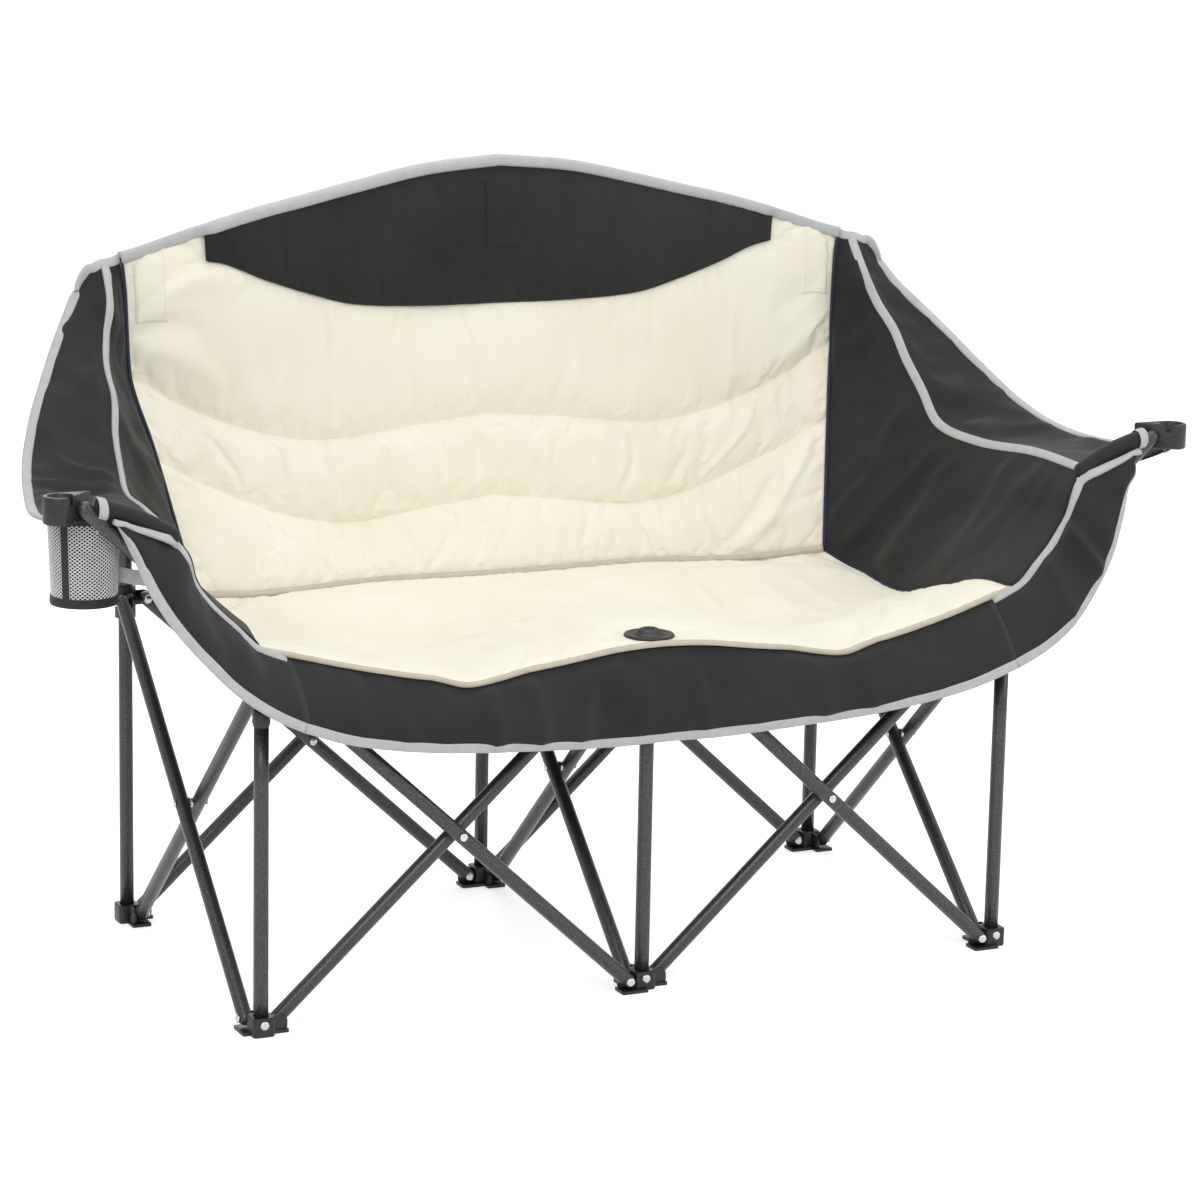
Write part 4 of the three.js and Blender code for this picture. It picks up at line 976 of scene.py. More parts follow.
# Headrest
# A padded panel of charcoal twill with a curved lower edge, sewn flat on to the top of the back
# pad, whose top tape binds it as well.
headrest_columns = 128
headrest_rows = 40
headrest_thickness = 11
headrest_pressure = 2.5
headrest_spare = 0.01
headrest_swell_cap = 5
charcoal_cloth = woven_cloth("charcoal_twill", "#1a1a1a", "#2c2c2c", 0.0011, 0.0002, 0.78, 0.08, 38)


def headrest_point(u, v):
    point = back_point((2 * u - 1) * headrest_width, headrest_low + (headrest_high - headrest_low) * v)
    point[..., 1] -= back_pad_thickness / 2 + seat_gap + headrest_thickness / 2
    return point


middle, u, v = grid_of(headrest_point, headrest_columns, headrest_rows)
half = normals_of(middle) * crowned(u, v, headrest_thickness)[..., None] / 2
front, rear = placed(middle + half), placed(middle - half)
edge, cap = at_edge(u, v), headrest_swell_cap * MM
front = settled("headrest_cloth", front, rear, edge, headrest_pressure, headrest_spare, cap)
headrest_front = finer(front)
shape = closed_shell(headrest_front, finer(rear), 2 * MM)
headrest = piece_from("headrest_cloth", shape, charcoal_cloth, "rear_centre_leg")
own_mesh(headrest)
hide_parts("headrest_panel")


# Backing
# The faces of the pads that the photograph doesn't show are lined with the same charcoal twill,
# one sheet on each pad, sewn in round its edge.
backing_stand = 0.2
backing_thickness = 0.9


def backed(name, layer, body):
    out = -normals_of(layer)
    shape = closed_shell(layer + out * backing_stand * MM, layer + out * backing_thickness * MM, 0.2 * MM)
    backing = piece_from(name, shape, charcoal_cloth, body)
    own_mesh(backing)


for node, body, rows in seat_halves:
    backed(f"{node}_backing", seat_under[rows][::2, ::2], body)
backed("back_pad_backing", back_rear[::2, ::2], "rear_centre_leg")


# Side and arm panels
# Charcoal twill, cut and sewn: a side panel from the pads' edge up to the arm's inner edge, and
# an arm panel from there out and down to the arm's outer edge, which the rear post holds up.
arm_inner = [
    (1.148, 0.974, 3.04), (1.162, 0.904, 2.821), (1.213, 0.864, 2.627), (1.259, 0.8, 2.462),
    (1.264, 0.736, 2.297), (1.306, 0.676, 2.112), (1.329, 0.6, 1.923), (1.407, 0.452, 1.86),
    (1.491, 0.22, 1.878), (1.523, 0.024, 1.855),
]
arm_outer = [
    (1.241, 0.956, 3.015), (1.37, 0.944, 2.806), (1.519, 0.868, 2.602), (1.657, 0.784, 2.403),
    (1.787, 0.696, 2.205), (1.907, 0.584, 2.015), (1.991, 0.46, 1.914), (2.083, 0.3, 1.878),
    (2.134, 0.18, 1.892), (2.148, 0.03, 1.923),
]
apron_top = [
    (1.87, -0.016, 1.942), (1.764, -0.012, 1.905), (1.648, -0.006, 1.869), (1.546, 0, 1.832),
    (1.486, -0.002, 1.787), (1.435, -0.012, 1.71), (1.398, -0.01, 1.587), (1.338, -0.01, 1.497),
    (1.259, -0.016, 1.41), (1.167, -0.02, 1.325), (1.051, -0.024, 1.214),
]
apron_turn = (1.2, 1.7)
tip_layer = {"left": -11, "right": 11}
cloth_thickness = 2.4
cloth_inboard = 3.3
drawn_from = 0.6
sheet_columns = 96
sheet_rows = 48
side_sag = 0.03
arm_sag = 0.06
sides = {"left": -1, "right": 1}
side_crease = 9
arm_crease = 10
side_fold_way = (0.258, 0.846, 0.466)
side_fold_point = (526, 491, 858)
side_fold_keep = 0.15
arm_fold_way = (0.356, 0.768, 0.532)
arm_fold_point = (746, 508, 1018)
arm_fold_keep = 0.03
cup_place = (-698, 48)
cup_radius = 42
cup_play = 0.6


def smooth_line(points, count):
    """Evenly spaced points on a smooth curve through given ones."""
    points = np.asarray(points, float)
    ends = np.concatenate([[2 * points[0] - points[1]], points, [2 * points[-1] - points[-2]]])
    fine = []
    for p0, p1, p2, p3 in zip(ends, ends[1:], ends[2:], ends[3:]):
        d1, d2, d3 = (max(np.linalg.norm(b - a), 1e-9) ** 0.5 for a, b in ((p0, p1), (p1, p2), (p2, p3)))
        start = (p1 - p0) / d1 - (p2 - p0) / (d1 + d2) + (p2 - p1) / d2
        end = (p2 - p1) / d2 - (p3 - p1) / (d2 + d3) + (p3 - p2) / d3
        t = np.linspace(0, 1, 24, endpoint=False)[:, None]
        fine.append(hermite(t, p1, start * d2, p2, end * d2))
    fine = np.concatenate([*fine, points[-1:]])
    run = run_of(fine)
    even = np.linspace(0, run[-1], count)
    return np.stack([np.interp(even, run, fine[:, axis]) for axis in range(points.shape[1])], -1)


def share_points(shares, side):
    x, y, z = np.array(shares, float).T
    return np.stack([side * across(x), y * depth, upwards(z)], -1)


def pad_side(side):
    """The line down a side of the back and forward along that side of the seat."""
    down = np.linspace(1, 0, 9)
    return np.concatenate([back_point(side, down), seat_point(side, down[1:])])


def front_points(shares, name):
    """Points of an apron's edge, which turns towards the layer of its arm tube."""
    points = share_points(shares, sides[name])
    turn = (np.array(shares)[:, 0] - apron_turn[0]) / (apron_turn[1] - apron_turn[0])
    points[:, 1] += np.clip(turn, 0, 1) * tip_layer[name]
    return points


def side_front(name, count):
    """A side panel's front edge, just inboard of the apron's top edge."""
    side = sides[name]
    along = front_points(apron_top[4:], name)[::-1] - (side * cloth_inboard, 0, 0)
    corner, end = seat_point(side, 0)[None], share_points(arm_inner[-1:], side)
    return smooth_line(np.concatenate([corner, along, end]), count)


def ruled(first, second, sag, rows):
    """A grid of points between two lines, which sags in the middle by a share of its width."""
    v = np.linspace(0, 1, rows + 1)[:, None, None]
    grid = first * (1 - v) + second * v
    width = np.linalg.norm(first - second, axis=-1)[None, :]
    grid[..., 2] -= sag * width * 4 * v[..., 0] * (1 - v[..., 0])
    return grid


def drawn_to(grid, edge):
    """The same surface with its last column drawn on to a line of its own."""
    u = np.linspace(0, 1, grid.shape[1])[None, :, None]
    share = np.maximum(0, (u - drawn_from) / (1 - drawn_from))
    return grid + (edge - grid[:, -1])[:, None] * soft_step(share)


def off_the_tube(grid, name, way):
    """Moves the points that an arm tube would run through on to the tube, along one way."""
    start = np.array((sides[name] * pin_offset, tip_layer[name], pin_height), float)
    along = np.array((sides[name] * arm_reach, tip_layer[name], arm_height)) - start
    along /= np.linalg.norm(along)
    room = tube_radius + cloth_thickness
    off = grid - start
    off -= (off @ along)[..., None] * along
    level = np.array(way, float) - along * (along @ way)
    b, c = off @ level, (off**2).sum(axis=-1) - room**2
    inside = c < 0
    a = level @ level
    move = np.where(inside, (-b + np.sqrt(np.maximum(b * b - a * c, 0))) / a, 0)
    return grid + move[..., None] * np.array(way, float)


def sewn_sheet(name, grid, body, squashed=None, mirrored=False):
    """A closed sheet of charcoal cloth."""
    if mirrored:
        grid = grid[:, ::-1]
    half = normals_of(grid) * cloth_thickness / 2
    shape = closed_shell(placed(grid + half), placed(grid - half), 0.4 * MM)
    sheet = piece_from(name, shape, charcoal_cloth, body)
    if squashed:
        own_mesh(sheet)
    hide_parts(name.removesuffix("_cloth"))
    return sheet


def creased(grid, amount, seed):
    return grid + normals_of(grid) * folds(grid, amount, seed)[..., None]


def hole_cut(sheet, place, radius):
    """Cuts a round hole straight down through a sheet."""
    bpy.ops.mesh.primitive_cylinder_add(vertices=96, radius=radius * MM, depth=0.4)
    drill = bpy.context.object
    drill.location = placed([(*place, arm_height)])[0]
    cut = sheet.modifiers.new("hole", "BOOLEAN")
    cut.operation = "DIFFERENCE"
    cut.object = drill
    bpy.context.view_layer.update()
    made_plain(sheet)
    bpy.data.objects.remove(drill)


def fold_of(side, way, point, keep):
    """How a panel is pressed as the sofa folds: along a way, towards a point, down to a share."""
    return (side * -way[0], *way[1:]), tuple(placed([(side * point[0], *point[1:])])[0]), keep


panels = {}
for name, side in sides.items():
    inner = smooth_line(share_points(arm_inner, side), sheet_columns + 1)
    outer = smooth_line(share_points(arm_outer, side), sheet_columns + 1)
    by_pad = smooth_line(pad_side(side), sheet_columns + 1)
    side_fold = fold_of(side, side_fold_way, side_fold_point, side_fold_keep)
    arm_fold = fold_of(side, arm_fold_way, arm_fold_point, arm_fold_keep)
    side_grid = drawn_to(ruled(by_pad, inner, side_sag, sheet_rows), side_front(name, sheet_rows + 1))
    side_grid = off_the_tube(creased(side_grid, side * side_crease, 11 + side), name, (0, 1, 0))
    crease = inner + (side * cloth_inboard, 0, 0)
    arm_grid = creased(ruled(crease, outer, arm_sag, sheet_rows), side * arm_crease, 21 + side)
    leg, posts = f"rear_{name}_leg", [f"rear_{name}_post_steel"]
    sewn_sheet(f"{name}_side_panel_cloth", side_grid, leg, side_fold, side > 0)
    arm_sheet = sewn_sheet(f"{name}_arm_panel_cloth", arm_grid, leg, None, side > 0)
    if name == "left":
        hole_cut(arm_sheet, cup_place, cup_radius + cup_play)
    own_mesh(arm_sheet)
    panels[name] = {"side": side_grid, "arm": arm_grid, "folds": (side_fold, arm_fold)}


# Aprons
# The cloth that hangs in front of the seat's edge and runs up to both arms. The middle stretch
# hangs from the front hubs, and the ends are sewn to the arm sleeves.
apron_low = [
    (1.82, -0.016, 1.905), (1.788, -0.036, 1.814), (1.749, -0.056, 1.71), (1.712, -0.072, 1.605),
    (1.663, -0.088, 1.505), (1.609, -0.104, 1.414), (1.542, -0.12, 1.323), (1.417, -0.14, 1.183),
    (1.333, -0.15, 1.095), (1.241, -0.158, 1.012), (1.139, -0.162, 0.968), (1.023, -0.162, 0.932),
    (0.95, -0.158, 0.897),
]
apron_places = [0, 0.12, 0.24, 0.36, 0.48, 0.6, 0.72, 0.84, 0.95]
apron_depths = [-0.12, -0.121, -0.122, -0.125, -0.13, -0.135, -0.142, -0.15, -0.158]
apron_heights = [0.767, 0.765, 0.769, 0.777, 0.786, 0.799, 0.82, 0.851, 0.897]
apron_belly = 12
apron_columns = 160
apron_rows = 32
front_crease = 8
apron_crease = 7
under_seat_step = (0, 3, -3.4)
seat_edge_reach = 506.48


def hung(high, low, v):
    """Points of a sheet that hangs from one line to another and bellies forward."""
    point = high * (1 - v) + low * v
    point[..., 1] -= apron_belly * 4 * (v * (1 - v))[..., 0]
    return point


def under_seat(x):
    """Where an apron is sewn on, just under the seat's front edge."""
    return seat_point(x / seat_edge_reach, 0) + under_seat_step


def apron_middle(u, v):
    x = (2 * u - 1) * (apron_places[-1] * bay - 2 * seat_gap)
    y = depth * eased(apron_places, apron_depths, np.abs(x) / bay)
    low = np.stack([x, y, upwards(eased(apron_places, apron_heights, np.abs(x) / bay))], -1)
    return hung(under_seat(x), low, v[..., None])


front_grid = creased(grid_of(apron_middle, apron_columns, apron_rows)[0][::-1], front_crease, 31)
hub = "front_centre_hub"
sewn_sheet("front_apron_cloth", front_grid, hub, whole_width)

for name, side in sides.items():
    seat_end = under_seat(side * apron_places[-1] * bay)
    high = smooth_line([*front_points(apron_top, name), seat_end], sheet_columns + 1)
    low = smooth_line(front_points(apron_low, name), sheet_columns + 1)
    v = np.linspace(1, 0, apron_rows + 1)[:, None, None]
    grid = creased(hung(high[None], low[None], v), -side * apron_crease, 41 + side)
    grid = off_the_tube(grid, name, (0, -1, 0))
    arm = f"{name}_arm"
    sewn_sheet(f"{name}_apron_cloth", grid, arm, None, side > 0)
    panels[name]["apron"] = grid


# Arm brackets
# Black nylon mouldings pushed over the tips of the arm tubes. Each has a round recess in its top
# for a parasol or a rod, and stops the sleeve behind it.
for name in sides:
    node = f"{name}_arm_bracket"
    bracket = eased_copy(node, f"{node}_moulding", black_moulding)
    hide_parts(node)


# Arm sleeves
# The padded front end of each arm: charcoal twill rolled over foam and pulled over the tube's tip,
# up to the bracket. Its inner end is tucked in and closed.
bracket_overlap = 14
sleeve_half = (12, 11)
sleeve_drop = 0.17
sleeve_columns = 72
sleeve_sides = 48
sleeve_end = ((2, 0.97), (5, 0.86), (8, 0.6), (9.5, 0.25))


def sleeve_path(name, count):
    side, y = sides[name], tip_layer[name]
    outer = side * (arm_reach - bracket_overlap - seat_gap)
    inner = side * across(arm_inner[-1][0])
    drop = (arm_height - hub_height) * sleeve_drop
    t = np.linspace(0, 1, count)[:, None]
    start, end = np.array((outer, y, arm_height)), np.array((inner, y, arm_height - drop))
    bend = np.array(((outer + inner) / 2, y, arm_height - drop / 4))
    return (1 - t) ** 2 * start + 2 * t * (1 - t) * bend + t * t * end


for name in sides:
    path = sleeve_path(name, sleeve_columns)
    run = np.linspace(0, 1, sleeve_columns)
    puff = 0.94 + 0.05 * np.sin(run * math.pi) + 0.03 * (cloth_noise(path, 1 / 14, 61) - 0.5)
    radii, oval = puff * sleeve_half[0] * MM, sleeve_half[1] / sleeve_half[0]
    way = (path[-1] - path[-2]) / np.linalg.norm(path[-1] - path[-2])
    reach, taper = np.array(sleeve_end).T
    path = np.concatenate([path, path[-1] + way * reach[:, None]])
    radii = np.concatenate([radii, radii[-1] * taper])
    shape = swept(placed(path), radii, sleeve_sides, oval, up=(0, 1, 0))
    sleeve = piece_from(f"{name}_arm_sleeve_cloth", shape, charcoal_cloth, f"{name}_arm")
    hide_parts(f"{name}_arm_sleeve")


# Edge tapes
# Light grey ribbed tape, folded over the raw edges of the charcoal cloth and sewn down with one
# row of stitches. The seat's front edge has a beige edging. The pads' side seams carry a thin cord
# in dark navy, which is painted shade: it stands for the shadow in those seams.
tape_size = (12, 6)
tape_overhang = 1
top_tape_width = 15
top_tape_thickness = 15
headrest_tape = 11
headrest_step = 6.5
top_tape_stand = (-1, 2)
inner_tape_stand = 1.5
sleeve_stand = 1
sleeve_start = 603
sleeve_blend = 20
tape_sides = 20
rib_pitch = 0.0016
stitch_pitch = 3.4
stitch_half = (0.3, 1.35)
stitch_lift = 0.46
stitch_inset = 0.24
edging_size = (9, 6.6)
seam_size = (12, 9)
cord_size = (4, 3)
cord_inset = 0.97
cord_top = 0.98
back_cord_stand = (0, -5, 0)
seat_cord_stand = (0, 0, 3)
binding_size = (8, 3.6)


def ribbed_tape(name, code):
    """Woven tape with fine ribs across its length, on the piece's own UV."""
    material, nodes, links, shader = new_finish(name, {"Roughness": 0.75, "Sheen Weight": 0.1})
    worn, fresh = ([min(1, c * gain) for c in shade(code)[:3]] + [1] for gain in (0.82, 1.08))
    place = added(nodes, "ShaderNodeTexCoord")
    threads = {"Scale": 1 / (rib_pitch * wave_pitch), "Distortion": 0.4}
    ribs = added(nodes, "ShaderNodeTexWave", threads, bands_direction="Y")
    wear = added(nodes, "ShaderNodeTexNoise", {"Scale": 90, "Detail": 4})
    tone = added(nodes, "ShaderNodeMixRGB", {"Color1": worn, "Color2": fresh})
    bump = added(nodes, "ShaderNodeBump", {"Distance": 0.0003, "Strength": 0.6})
    wired(links, (place, "UV", ribs, "Vector"), (place, "Object", wear, "Vector"))
    wired(links, (wear, "Fac", tone, "Fac"), (tone, "Color", shader, "Base Color"))
    wired(links, (ribs, "Fac", bump, "Height"), (bump, "Normal", shader, "Normal"))
    return material


grey_tape = ribbed_tape("light_grey_tape", "#bebebe")
beige_tape = ribbed_tape("beige_edging", "#cdc4b1")
# A thin cord whose dark navy is painted shade, the deep bluish shadow along the pads' side seams.
painted_shade_cord = ribbed_tape("navy_painted_shade_cord", "#1b2440")
black_tape = ribbed_tape("black_tape", "#1a1a1c")
grey_stitches = headed_tree("grey_stitches", ribbed_tape("grey_thread", "#adadad"))
cream_stitches = headed_tree("cream_stitches", ribbed_tape("cream_thread", "#cfc8b0"))
black_stitches = headed_tree("black_stitches", ribbed_tape("black_thread", "#161618"))


def taped(path, inward, width, thickness):
    """Rings of a folded tape along a path: wide along inward and thin across it."""
    along = np.gradient(path, axis=0)
    along /= np.maximum(np.linalg.norm(along, axis=1, keepdims=True), 1e-12)
    wide = inward - along * (inward * along).sum(axis=1, keepdims=True)
    wide /= np.maximum(np.linalg.norm(wide, axis=1, keepdims=True), 1e-12)
    thin = np.cross(along, wide)
    angles = np.linspace(0, 2 * math.pi, tape_sides, endpoint=False)
    c, s = np.cos(angles), np.sin(angles)
    w = width / 2 * np.sign(c) * np.abs(c) ** 0.5
    t = np.broadcast_to(thickness, len(path))[:, None] / 2 * np.sign(s) * np.abs(s) ** 0.8
    rings = path[:, None] + w[None, :, None] * wide[:, None] + t[..., None] * thin[:, None]
    return rings, along, wide, thin


def stitched(name, path, ways, tree, body, squashed):
    """A row of stitches along a path in metres, each laid along the path's own way there."""
    run = run_of(path)
    spots = np.arange(stitch_pitch * MM, run[-1], stitch_pitch * MM)
    points = np.stack([np.interp(spots, run, path[:, k]) for k in range(3)], -1)
    along = np.stack([np.interp(spots, run, ways[:, k]) for k in range(3)], -1)
    sizes = {"Across": stitch_half[0] * MM, "Along": stitch_half[1] * MM, "Sides": 6, "Rings": 4}
    thread = grown(name, points, along, tree, sizes, body)
    if squashed:
        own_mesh(thread)


def sewn_tape(name, path, towards, body, squashed=None, cloth=grey_tape, size=tape_size, thread=None):
    """Folds a tape over a cloth's edge, and sews it down along its inner half."""
    inward = towards - path
    inward = inward / np.maximum(np.linalg.norm(inward, axis=1, keepdims=True), 1e-9)
    width, thickness = size
    middle = placed(path + inward * (width / 2 - tape_overhang))
    rings, along, wide, thin = taped(middle, inward, width * MM, thickness * MM)
    tape = piece_from(name, skinned(rings, middle), cloth, body)
    if squashed:
        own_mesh(tape)
    if thread:
        for face, way in (("upper", 1), ("lower", -1)):
            lift = way * stitch_lift * np.broadcast_to(thickness, len(path))[:, None] * MM
            row = middle + wide * width * stitch_inset * MM + thin * lift
            stitched(f"{name}_{face}_stitches", row, along, thread, body, squashed)


share = np.linspace(-1, 1, 241)
over_headrest = np.clip((headrest_width + 0.02 - np.abs(share)) / 0.04, 0, 1)
forward_step = top_tape_stand[0] - headrest_step * over_headrest
top_shift = np.stack([0 * share, forward_step, top_tape_stand[1] + 0 * share], -1)
top_line, top_inner = back_point(share, 1) + top_shift, back_point(share, still_above) + top_shift
top_size = (top_tape_width, top_tape_thickness + headrest_tape * over_headrest)
rear, front = "rear_centre_leg", "middle_rear_tube"
sewn_tape("back_top_tape", top_line, top_inner, rear, whole_width, size=top_size, thread=grey_stitches)
seam_line = seat_point(share * 0.995, 1) + (0, -2, 2)
sewn_tape("seat_back_seam", seam_line, seam_line + (0, -1, 0.9), rear, whole_width, beige_tape, seam_size)
share = np.linspace(-1, 1, 321)
seat_edge, seat_inner = seat_point(share, 0) + (0, -2, 0), seat_point(share, 0.02)
sewn_tape("seat_front_edging", seat_edge, seat_inner, front, whole_width, beige_tape, edging_size)
low_edge = (front_grid[0], front_grid[2])
sewn_tape("front_apron_low_tape", *low_edge, hub, whole_width, thread=grey_stitches)

for name, side in sides.items():
    arm, side_cloth, apron = (panels[name][part] for part in ("arm", "side", "apron"))
    side_fold, arm_fold = panels[name]["folds"]
    leg, arm_body = f"rear_{name}_leg", f"{name}_arm"
    edge = np.concatenate([side_cloth[:-1:24, 0], arm[::24, 0], arm[-1, 6::6]])
    inside = np.concatenate([side_cloth[:-1:24, 4], arm[:-1:24, 4], arm[-5:-4, 4], arm[-5, 6::6]])
    both = smooth_line(np.hstack([edge, inside]), 180)
    sewn_tape(f"{name}_arm_outer_tape", both[:, :3], both[:, 3:], leg, arm_fold, thread=grey_stitches)
    edge = side_cloth[-1] + (side * inner_tape_stand, 0, inner_tape_stand)
    sewn_tape(f"{name}_arm_inner_tape", edge, side_cloth[-3], leg, side_fold, thread=grey_stitches)
    over_sleeve = np.clip((np.abs(apron[-1][:, 0]) - sleeve_start) / sleeve_blend, 0, 1)[:, None]
    front = apron[-1].copy()
    front[:, 1] = tip_layer[name] - sleeve_half[0] - sleeve_stand
    edge = apron[-1] * (1 - over_sleeve) + front * over_sleeve
    inner_edge = edge + apron[-3] - apron[-1]
    sewn_tape(f"{name}_apron_top_tape", edge, inner_edge, arm_body, thread=grey_stitches)
    sewn_tape(f"{name}_apron_low_tape", apron[0], apron[2], arm_body, thread=grey_stitches)
    # The cords down each pad's side paint the shade of that seam in dark navy.
    down = np.linspace(cord_top, 0, 90)
    lines = [back_point(side * inset, down) + back_cord_stand for inset in (1, cord_inset)]
    sewn_tape(f"{name}_back_seam", *lines, rear, whole_width, painted_shade_cord, cord_size)
    halves = (("front", "middle_rear_tube", (0, 0.5)), ("rear", "middle_front_tube", (0.5, 1)))
    for half, body, ends in halves:
        along = np.linspace(*ends, 50)
        lines = [seat_point(side * inset, along) + seat_cord_stand for inset in (1, cord_inset)]
        sewn_tape(f"{name}_seat_{half}_seam", *lines, body, whole_width, painted_shade_cord, cord_size)
    lines = [front_grid[::-1, column if side < 0 else -1 - column] for column in (0, 2)]
    sewn_tape(f"{name}_apron_seam", *lines, hub, whole_width, black_tape, binding_size, black_stitches)


# Quilting and post pockets
# Two rows of thread quilt the back pad. Each rear post ends in a pocket behind the pad, whose
# seams show on the front as a stitched oblong.
pocket_lift = 1.2
pale, dark = (cream_cloth, cream_stitches, "cream_cloth"), (charcoal_cloth, black_stitches, "dark_cloth")
pockets = (
    ("left_pocket", back_front, (0.012, 0.052), (0.64, 0.955), pale),
    ("right_pocket", back_front, (0.948, 0.988), (0.64, 0.955), pale),
    ("middle_pocket", headrest_front, (0.474, 0.53), (0.42, 0.9), dark),
)
post_pocket_radius = 11
post_pocket_length = 80
post_pocket_steps = 12
post_pocket_sides = 40

for place in quilt_places:
    row = back_front[round(place * (len(back_front) - 1))]
    name = f"quilting_{round(place * 100)}"
    stitched(name, row, np.gradient(row, axis=0), cream_stitches, "rear_centre_leg", whole_width)

for name, front, wide, tall, (cloth, thread, slot_name) in pockets:
    left_column, right_column = (round(share * (front.shape[1] - 1)) for share in wide)
    low_row, high_row = (round(share * (len(front) - 1)) for share in tall)
    patch = front[low_row : high_row + 1, left_column : right_column + 1]
    lift = normals_of(patch) * pocket_lift * MM
    shape = closed_shell(patch + lift, patch - lift, 0.6 * MM)
    pocket = piece_from(name, shape, cloth, "rear_centre_leg")
    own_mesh(pocket)
    inset = (patch + lift)[2:-2, 1:-1]
    loop = border_of(*inset.shape[:2])
    row = inset[np.append(loop[:, 0], loop[0, 0]), np.append(loop[:, 1], loop[0, 1])]
    stitched(f"{name}_stitches", row, np.gradient(row, axis=0), thread, "rear_centre_leg", whole_width)

for name in ("rear_left", "rear_centre", "rear_right"):
    body, x, y = legs[name]
    top = post_tops["middle" if name == "rear_centre" else "side"]
    levels = np.linspace(top - post_pocket_length, top + 2, post_pocket_steps)
    radii = post_pocket_radius + 0.4 * np.cos(np.arange(post_pocket_steps) * 1.7)
    radii[-1] -= 2.5
    path = placed([(x, y, level) for level in levels])
    shape = swept(path, radii * MM, post_pocket_sides, up=(1, 0, 0))
    sock = piece_from(f"{name}_post_pocket", shape, charcoal_cloth, body)


# Cup pouch
# A pouch of white netting over a dark lining, bound with black tape at its rim, its bottom and
# down its front. It hangs from the left arm, and a grey strap ties it to the apron.
cup_low = 528.32
cup_rim = 632.32
cup_taper = 4
cup_wall = 2.2
lining_inset = 0.9
net_inset = 0.3
net_threads = 44
net_turns = 0.55
net_thread_radius = 0.55
strap_size = (18, 1.8)
rim_tape_size = (8, 2.6)
bottom_tape_size = (11, 3)
rim_tape_drop = 3.5
bottom_tape_rise = 5
front_tape_size = (9, 2.2)
front_tape_turn = math.radians(-140)
strap_points = [(-662, 40, 561), (-646, 22, 559), (-630, -2, 561), (-619, -26, 565)]


def netting_tree(material):
    """Threads wound both ways round a cup that widens upwards."""
    lengths = ("Turns", "Low radius", "High radius", "Height", "Thread radius")
    entries = {"Threads": "Int", **dict.fromkeys(lengths, "Float"), "Place": "Vector"}
    tree, nodes, links, given, made = new_tree("netting", entries)
    both = added(nodes, "GeometryNodeJoinGeometry")
    for reverse in (False, True):
        thread = added(nodes, "GeometryNodeCurveSpiral", {"Resolution": 30, "Reverse": reverse})
        spots = added(nodes, "GeometryNodePoints")
        index = added(nodes, "GeometryNodeInputIndex")
        part = added(nodes, "ShaderNodeMath", operation="DIVIDE")
        angle = added(nodes, "ShaderNodeMath", {1: 2 * math.pi}, operation="MULTIPLY")
        turn = added(nodes, "ShaderNodeCombineXYZ")
        spread = added(nodes, "GeometryNodeInstanceOnPoints")
        wired(links, (given, "Turns", thread, "Rotations"), (given, "Height", thread, "Height"))
        wired(links, (given, "Low radius", thread, "Start Radius"))
        wired(links, (given, "High radius", thread, "End Radius"))
        wired(links, (given, "Threads", spots, "Count"), (given, "Threads", part, 1), (index, 0, part, 0))
        wired(links, (part, 0, angle, 0), (angle, 0, turn, "Z"), (turn, 0, spread, "Rotation"))
        wired(links, (spots, 0, spread, "Points"), (thread, "Curve", spread, "Instance"))
        wired(links, (spread, "Instances", both, "Geometry"))
    real = added(nodes, "GeometryNodeRealizeInstances")
    section = added(nodes, "GeometryNodeCurvePrimitiveCircle", {"Resolution": 6})
    solid = added(nodes, "GeometryNodeCurveToMesh", {"Fill Caps": True})
    lift = added(nodes, "GeometryNodeTransform")
    finish = added(nodes, "GeometryNodeSetMaterial", {"Material": material})
    wired(links, (both, 0, real, 0), (real, 0, solid, "Curve"))
    wired(links, (section, "Curve", solid, "Profile Curve"))
    wired(links, (given, "Thread radius", section, "Radius"), (given, "Place", lift, "Translation"))
    wired(links, (solid, "Mesh", lift, "Geometry"), (lift, "Geometry", finish, "Geometry"))
    wired(links, (finish, "Geometry", made, "Geometry"))
    return tree


def webbing(name, path, wide, size, material, body):
    """A flat woven band along a path, wide along the given way."""
    path = placed(path)
    wide = np.tile(np.asarray(wide, float), (len(path), 1))
    rings, *_ = taped(path, wide, size[0] * MM, size[1] * MM)
    piece_from(name, skinned(rings, path), material, body)


net_cord = ribbed_tape("white_net_cord", "#ececec")
low_radius, high_radius = cup_radius - cup_taper - lining_inset, cup_radius - lining_inset
pouch_profile = (
    (34, cup_low + 0.6), (low_radius, cup_low + 1.2),
    (high_radius, cup_rim), (high_radius - cup_wall / 2, cup_rim),
    (low_radius - cup_wall / 2, cup_low + cup_wall), (30, cup_low + cup_wall),
)
lining = piece_from("cup_pouch_lining", turned(pouch_profile, 96, cup_place), charcoal_cloth, "left_arm")
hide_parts("cup_pouch")
girth, tall = 2 * math.pi * (cup_radius - cup_taper / 2) * MM, (cup_rim - cup_low + cup_radius) * MM

net_sizes = {
    "Threads": net_threads, "Turns": net_turns, "Thread radius": net_thread_radius * MM,
    "Low radius": (cup_radius - cup_taper - net_inset) * MM, "High radius": (cup_radius - net_inset) * MM,
    "Height": (cup_rim - cup_low - 2) * MM, "Place": tuple(placed([(*cup_place, cup_low + 1)])[0]),
}
net = grown("cup_pouch_net", [(0, 0, 0)], [(0, 0, 1)], netting_tree(net_cord), net_sizes, "left_arm")

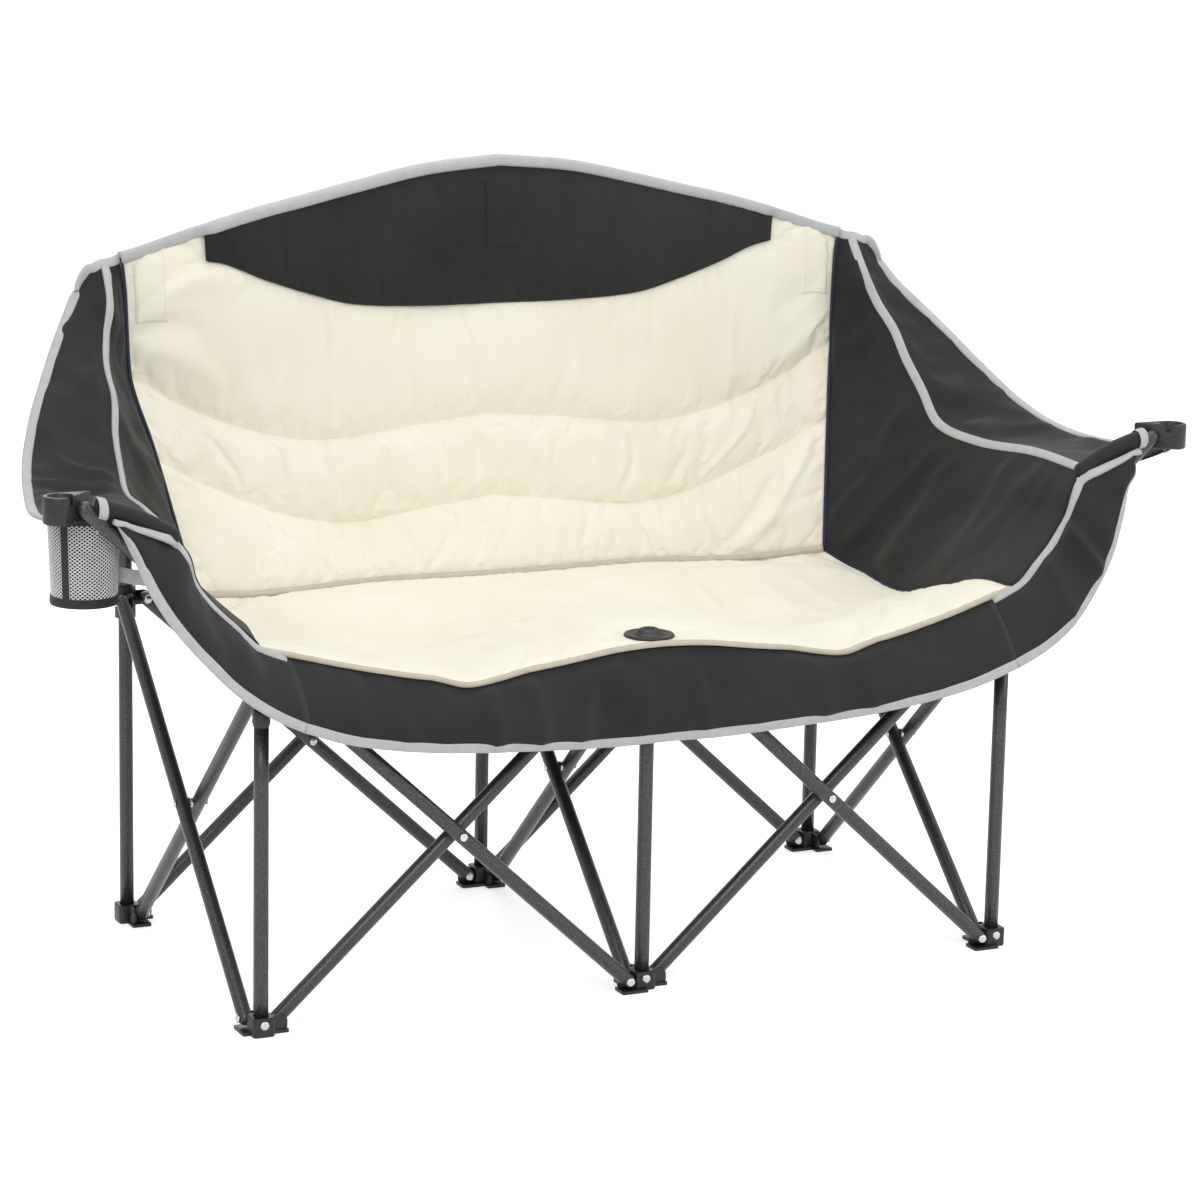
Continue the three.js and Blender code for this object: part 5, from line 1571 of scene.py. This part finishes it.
angles = np.linspace(0, 2 * math.pi, 97)
ring = np.stack([np.cos(angles), np.sin(angles), 0 * angles], -1)
rim_tape = ring * (cup_radius - 0.6) + (*cup_place, cup_rim - rim_tape_drop)
webbing("pouch_rim_tape", rim_tape, (0, 0, 1), rim_tape_size, black_tape, "left_arm")
bottom_tape = ring * (cup_radius - cup_taper + 0.3) + (*cup_place, cup_low + bottom_tape_rise)
webbing("pouch_bottom_tape", bottom_tape, (0, 0, 1), bottom_tape_size, black_tape, "left_arm")
seam_way = np.array((math.cos(front_tape_turn), math.sin(front_tape_turn), 0))
up = np.linspace(0, 1, 40)[:, None]
seam = (*cup_place, cup_low + 2) + seam_way * (cup_radius - cup_taper + cup_taper * up + 0.4)
seam = seam + up * (0, 0, cup_rim - cup_low - 4)
webbing("pouch_front_tape", seam, np.cross(seam_way, (0, 0, 1)), front_tape_size, black_tape, "left_arm")
webbing("pouch_strap", smooth_line(strap_points, 24), (0, 0, 1), strap_size, grey_tape, "left_arm")


# Arm loops
# A grey webbing loop round each arm's end holds the sleeve against the bracket. Its end hangs
# below as a short tab.
loop_size = (11, 1.8)
loop_gap = 1.4
loop_place = 4
tab_length = 15

for name in sides:
    path = sleeve_path(name, sleeve_columns)
    centre, way = path[loop_place], path[loop_place + 1] - path[loop_place]
    angles = np.radians(np.linspace(-100, 270, 60))
    reach = [half + loop_gap for half in sleeve_half]
    band = centre + np.stack([0 * angles, np.cos(angles) * reach[0], np.sin(angles) * reach[1]], -1)
    tab = band[-1] + np.linspace(0, 1, 9)[1:, None] * (0, 1, -tab_length)
    path = np.concatenate([band, tab])
    webbing(f"{name}_arm_loop", path, way / np.linalg.norm(way), loop_size, grey_tape, f"{name}_arm")


# Seat button
# A round moulded cap with a raised middle. It is screwed down through the seat pad on to the
# middle front hub, and draws the cloth flat round it.
button_sharp = math.radians(40)
button_profile = (
    (5, 438.4), (5, 445.7), (28.5, 445.7), (31, 446.3), (31, 447.4), (29.8, 448.7),
    (24, 448.9), (22.6, 448), (20.5, 448), (19, 449.1), (16.5, 450.1), (14.5, 452.9),
    (10.5, 455.1), (7.5, 455.4), (6.6, 453.9), (3, 453.4),
)
shape = turned(button_profile, 96, (0, 0))
button = piece_from("seat_button_moulding", shape, black_moulding, "front_centre_hub")
button.data.set_sharp_from_angle(angle=button_sharp)
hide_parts("seat_button")
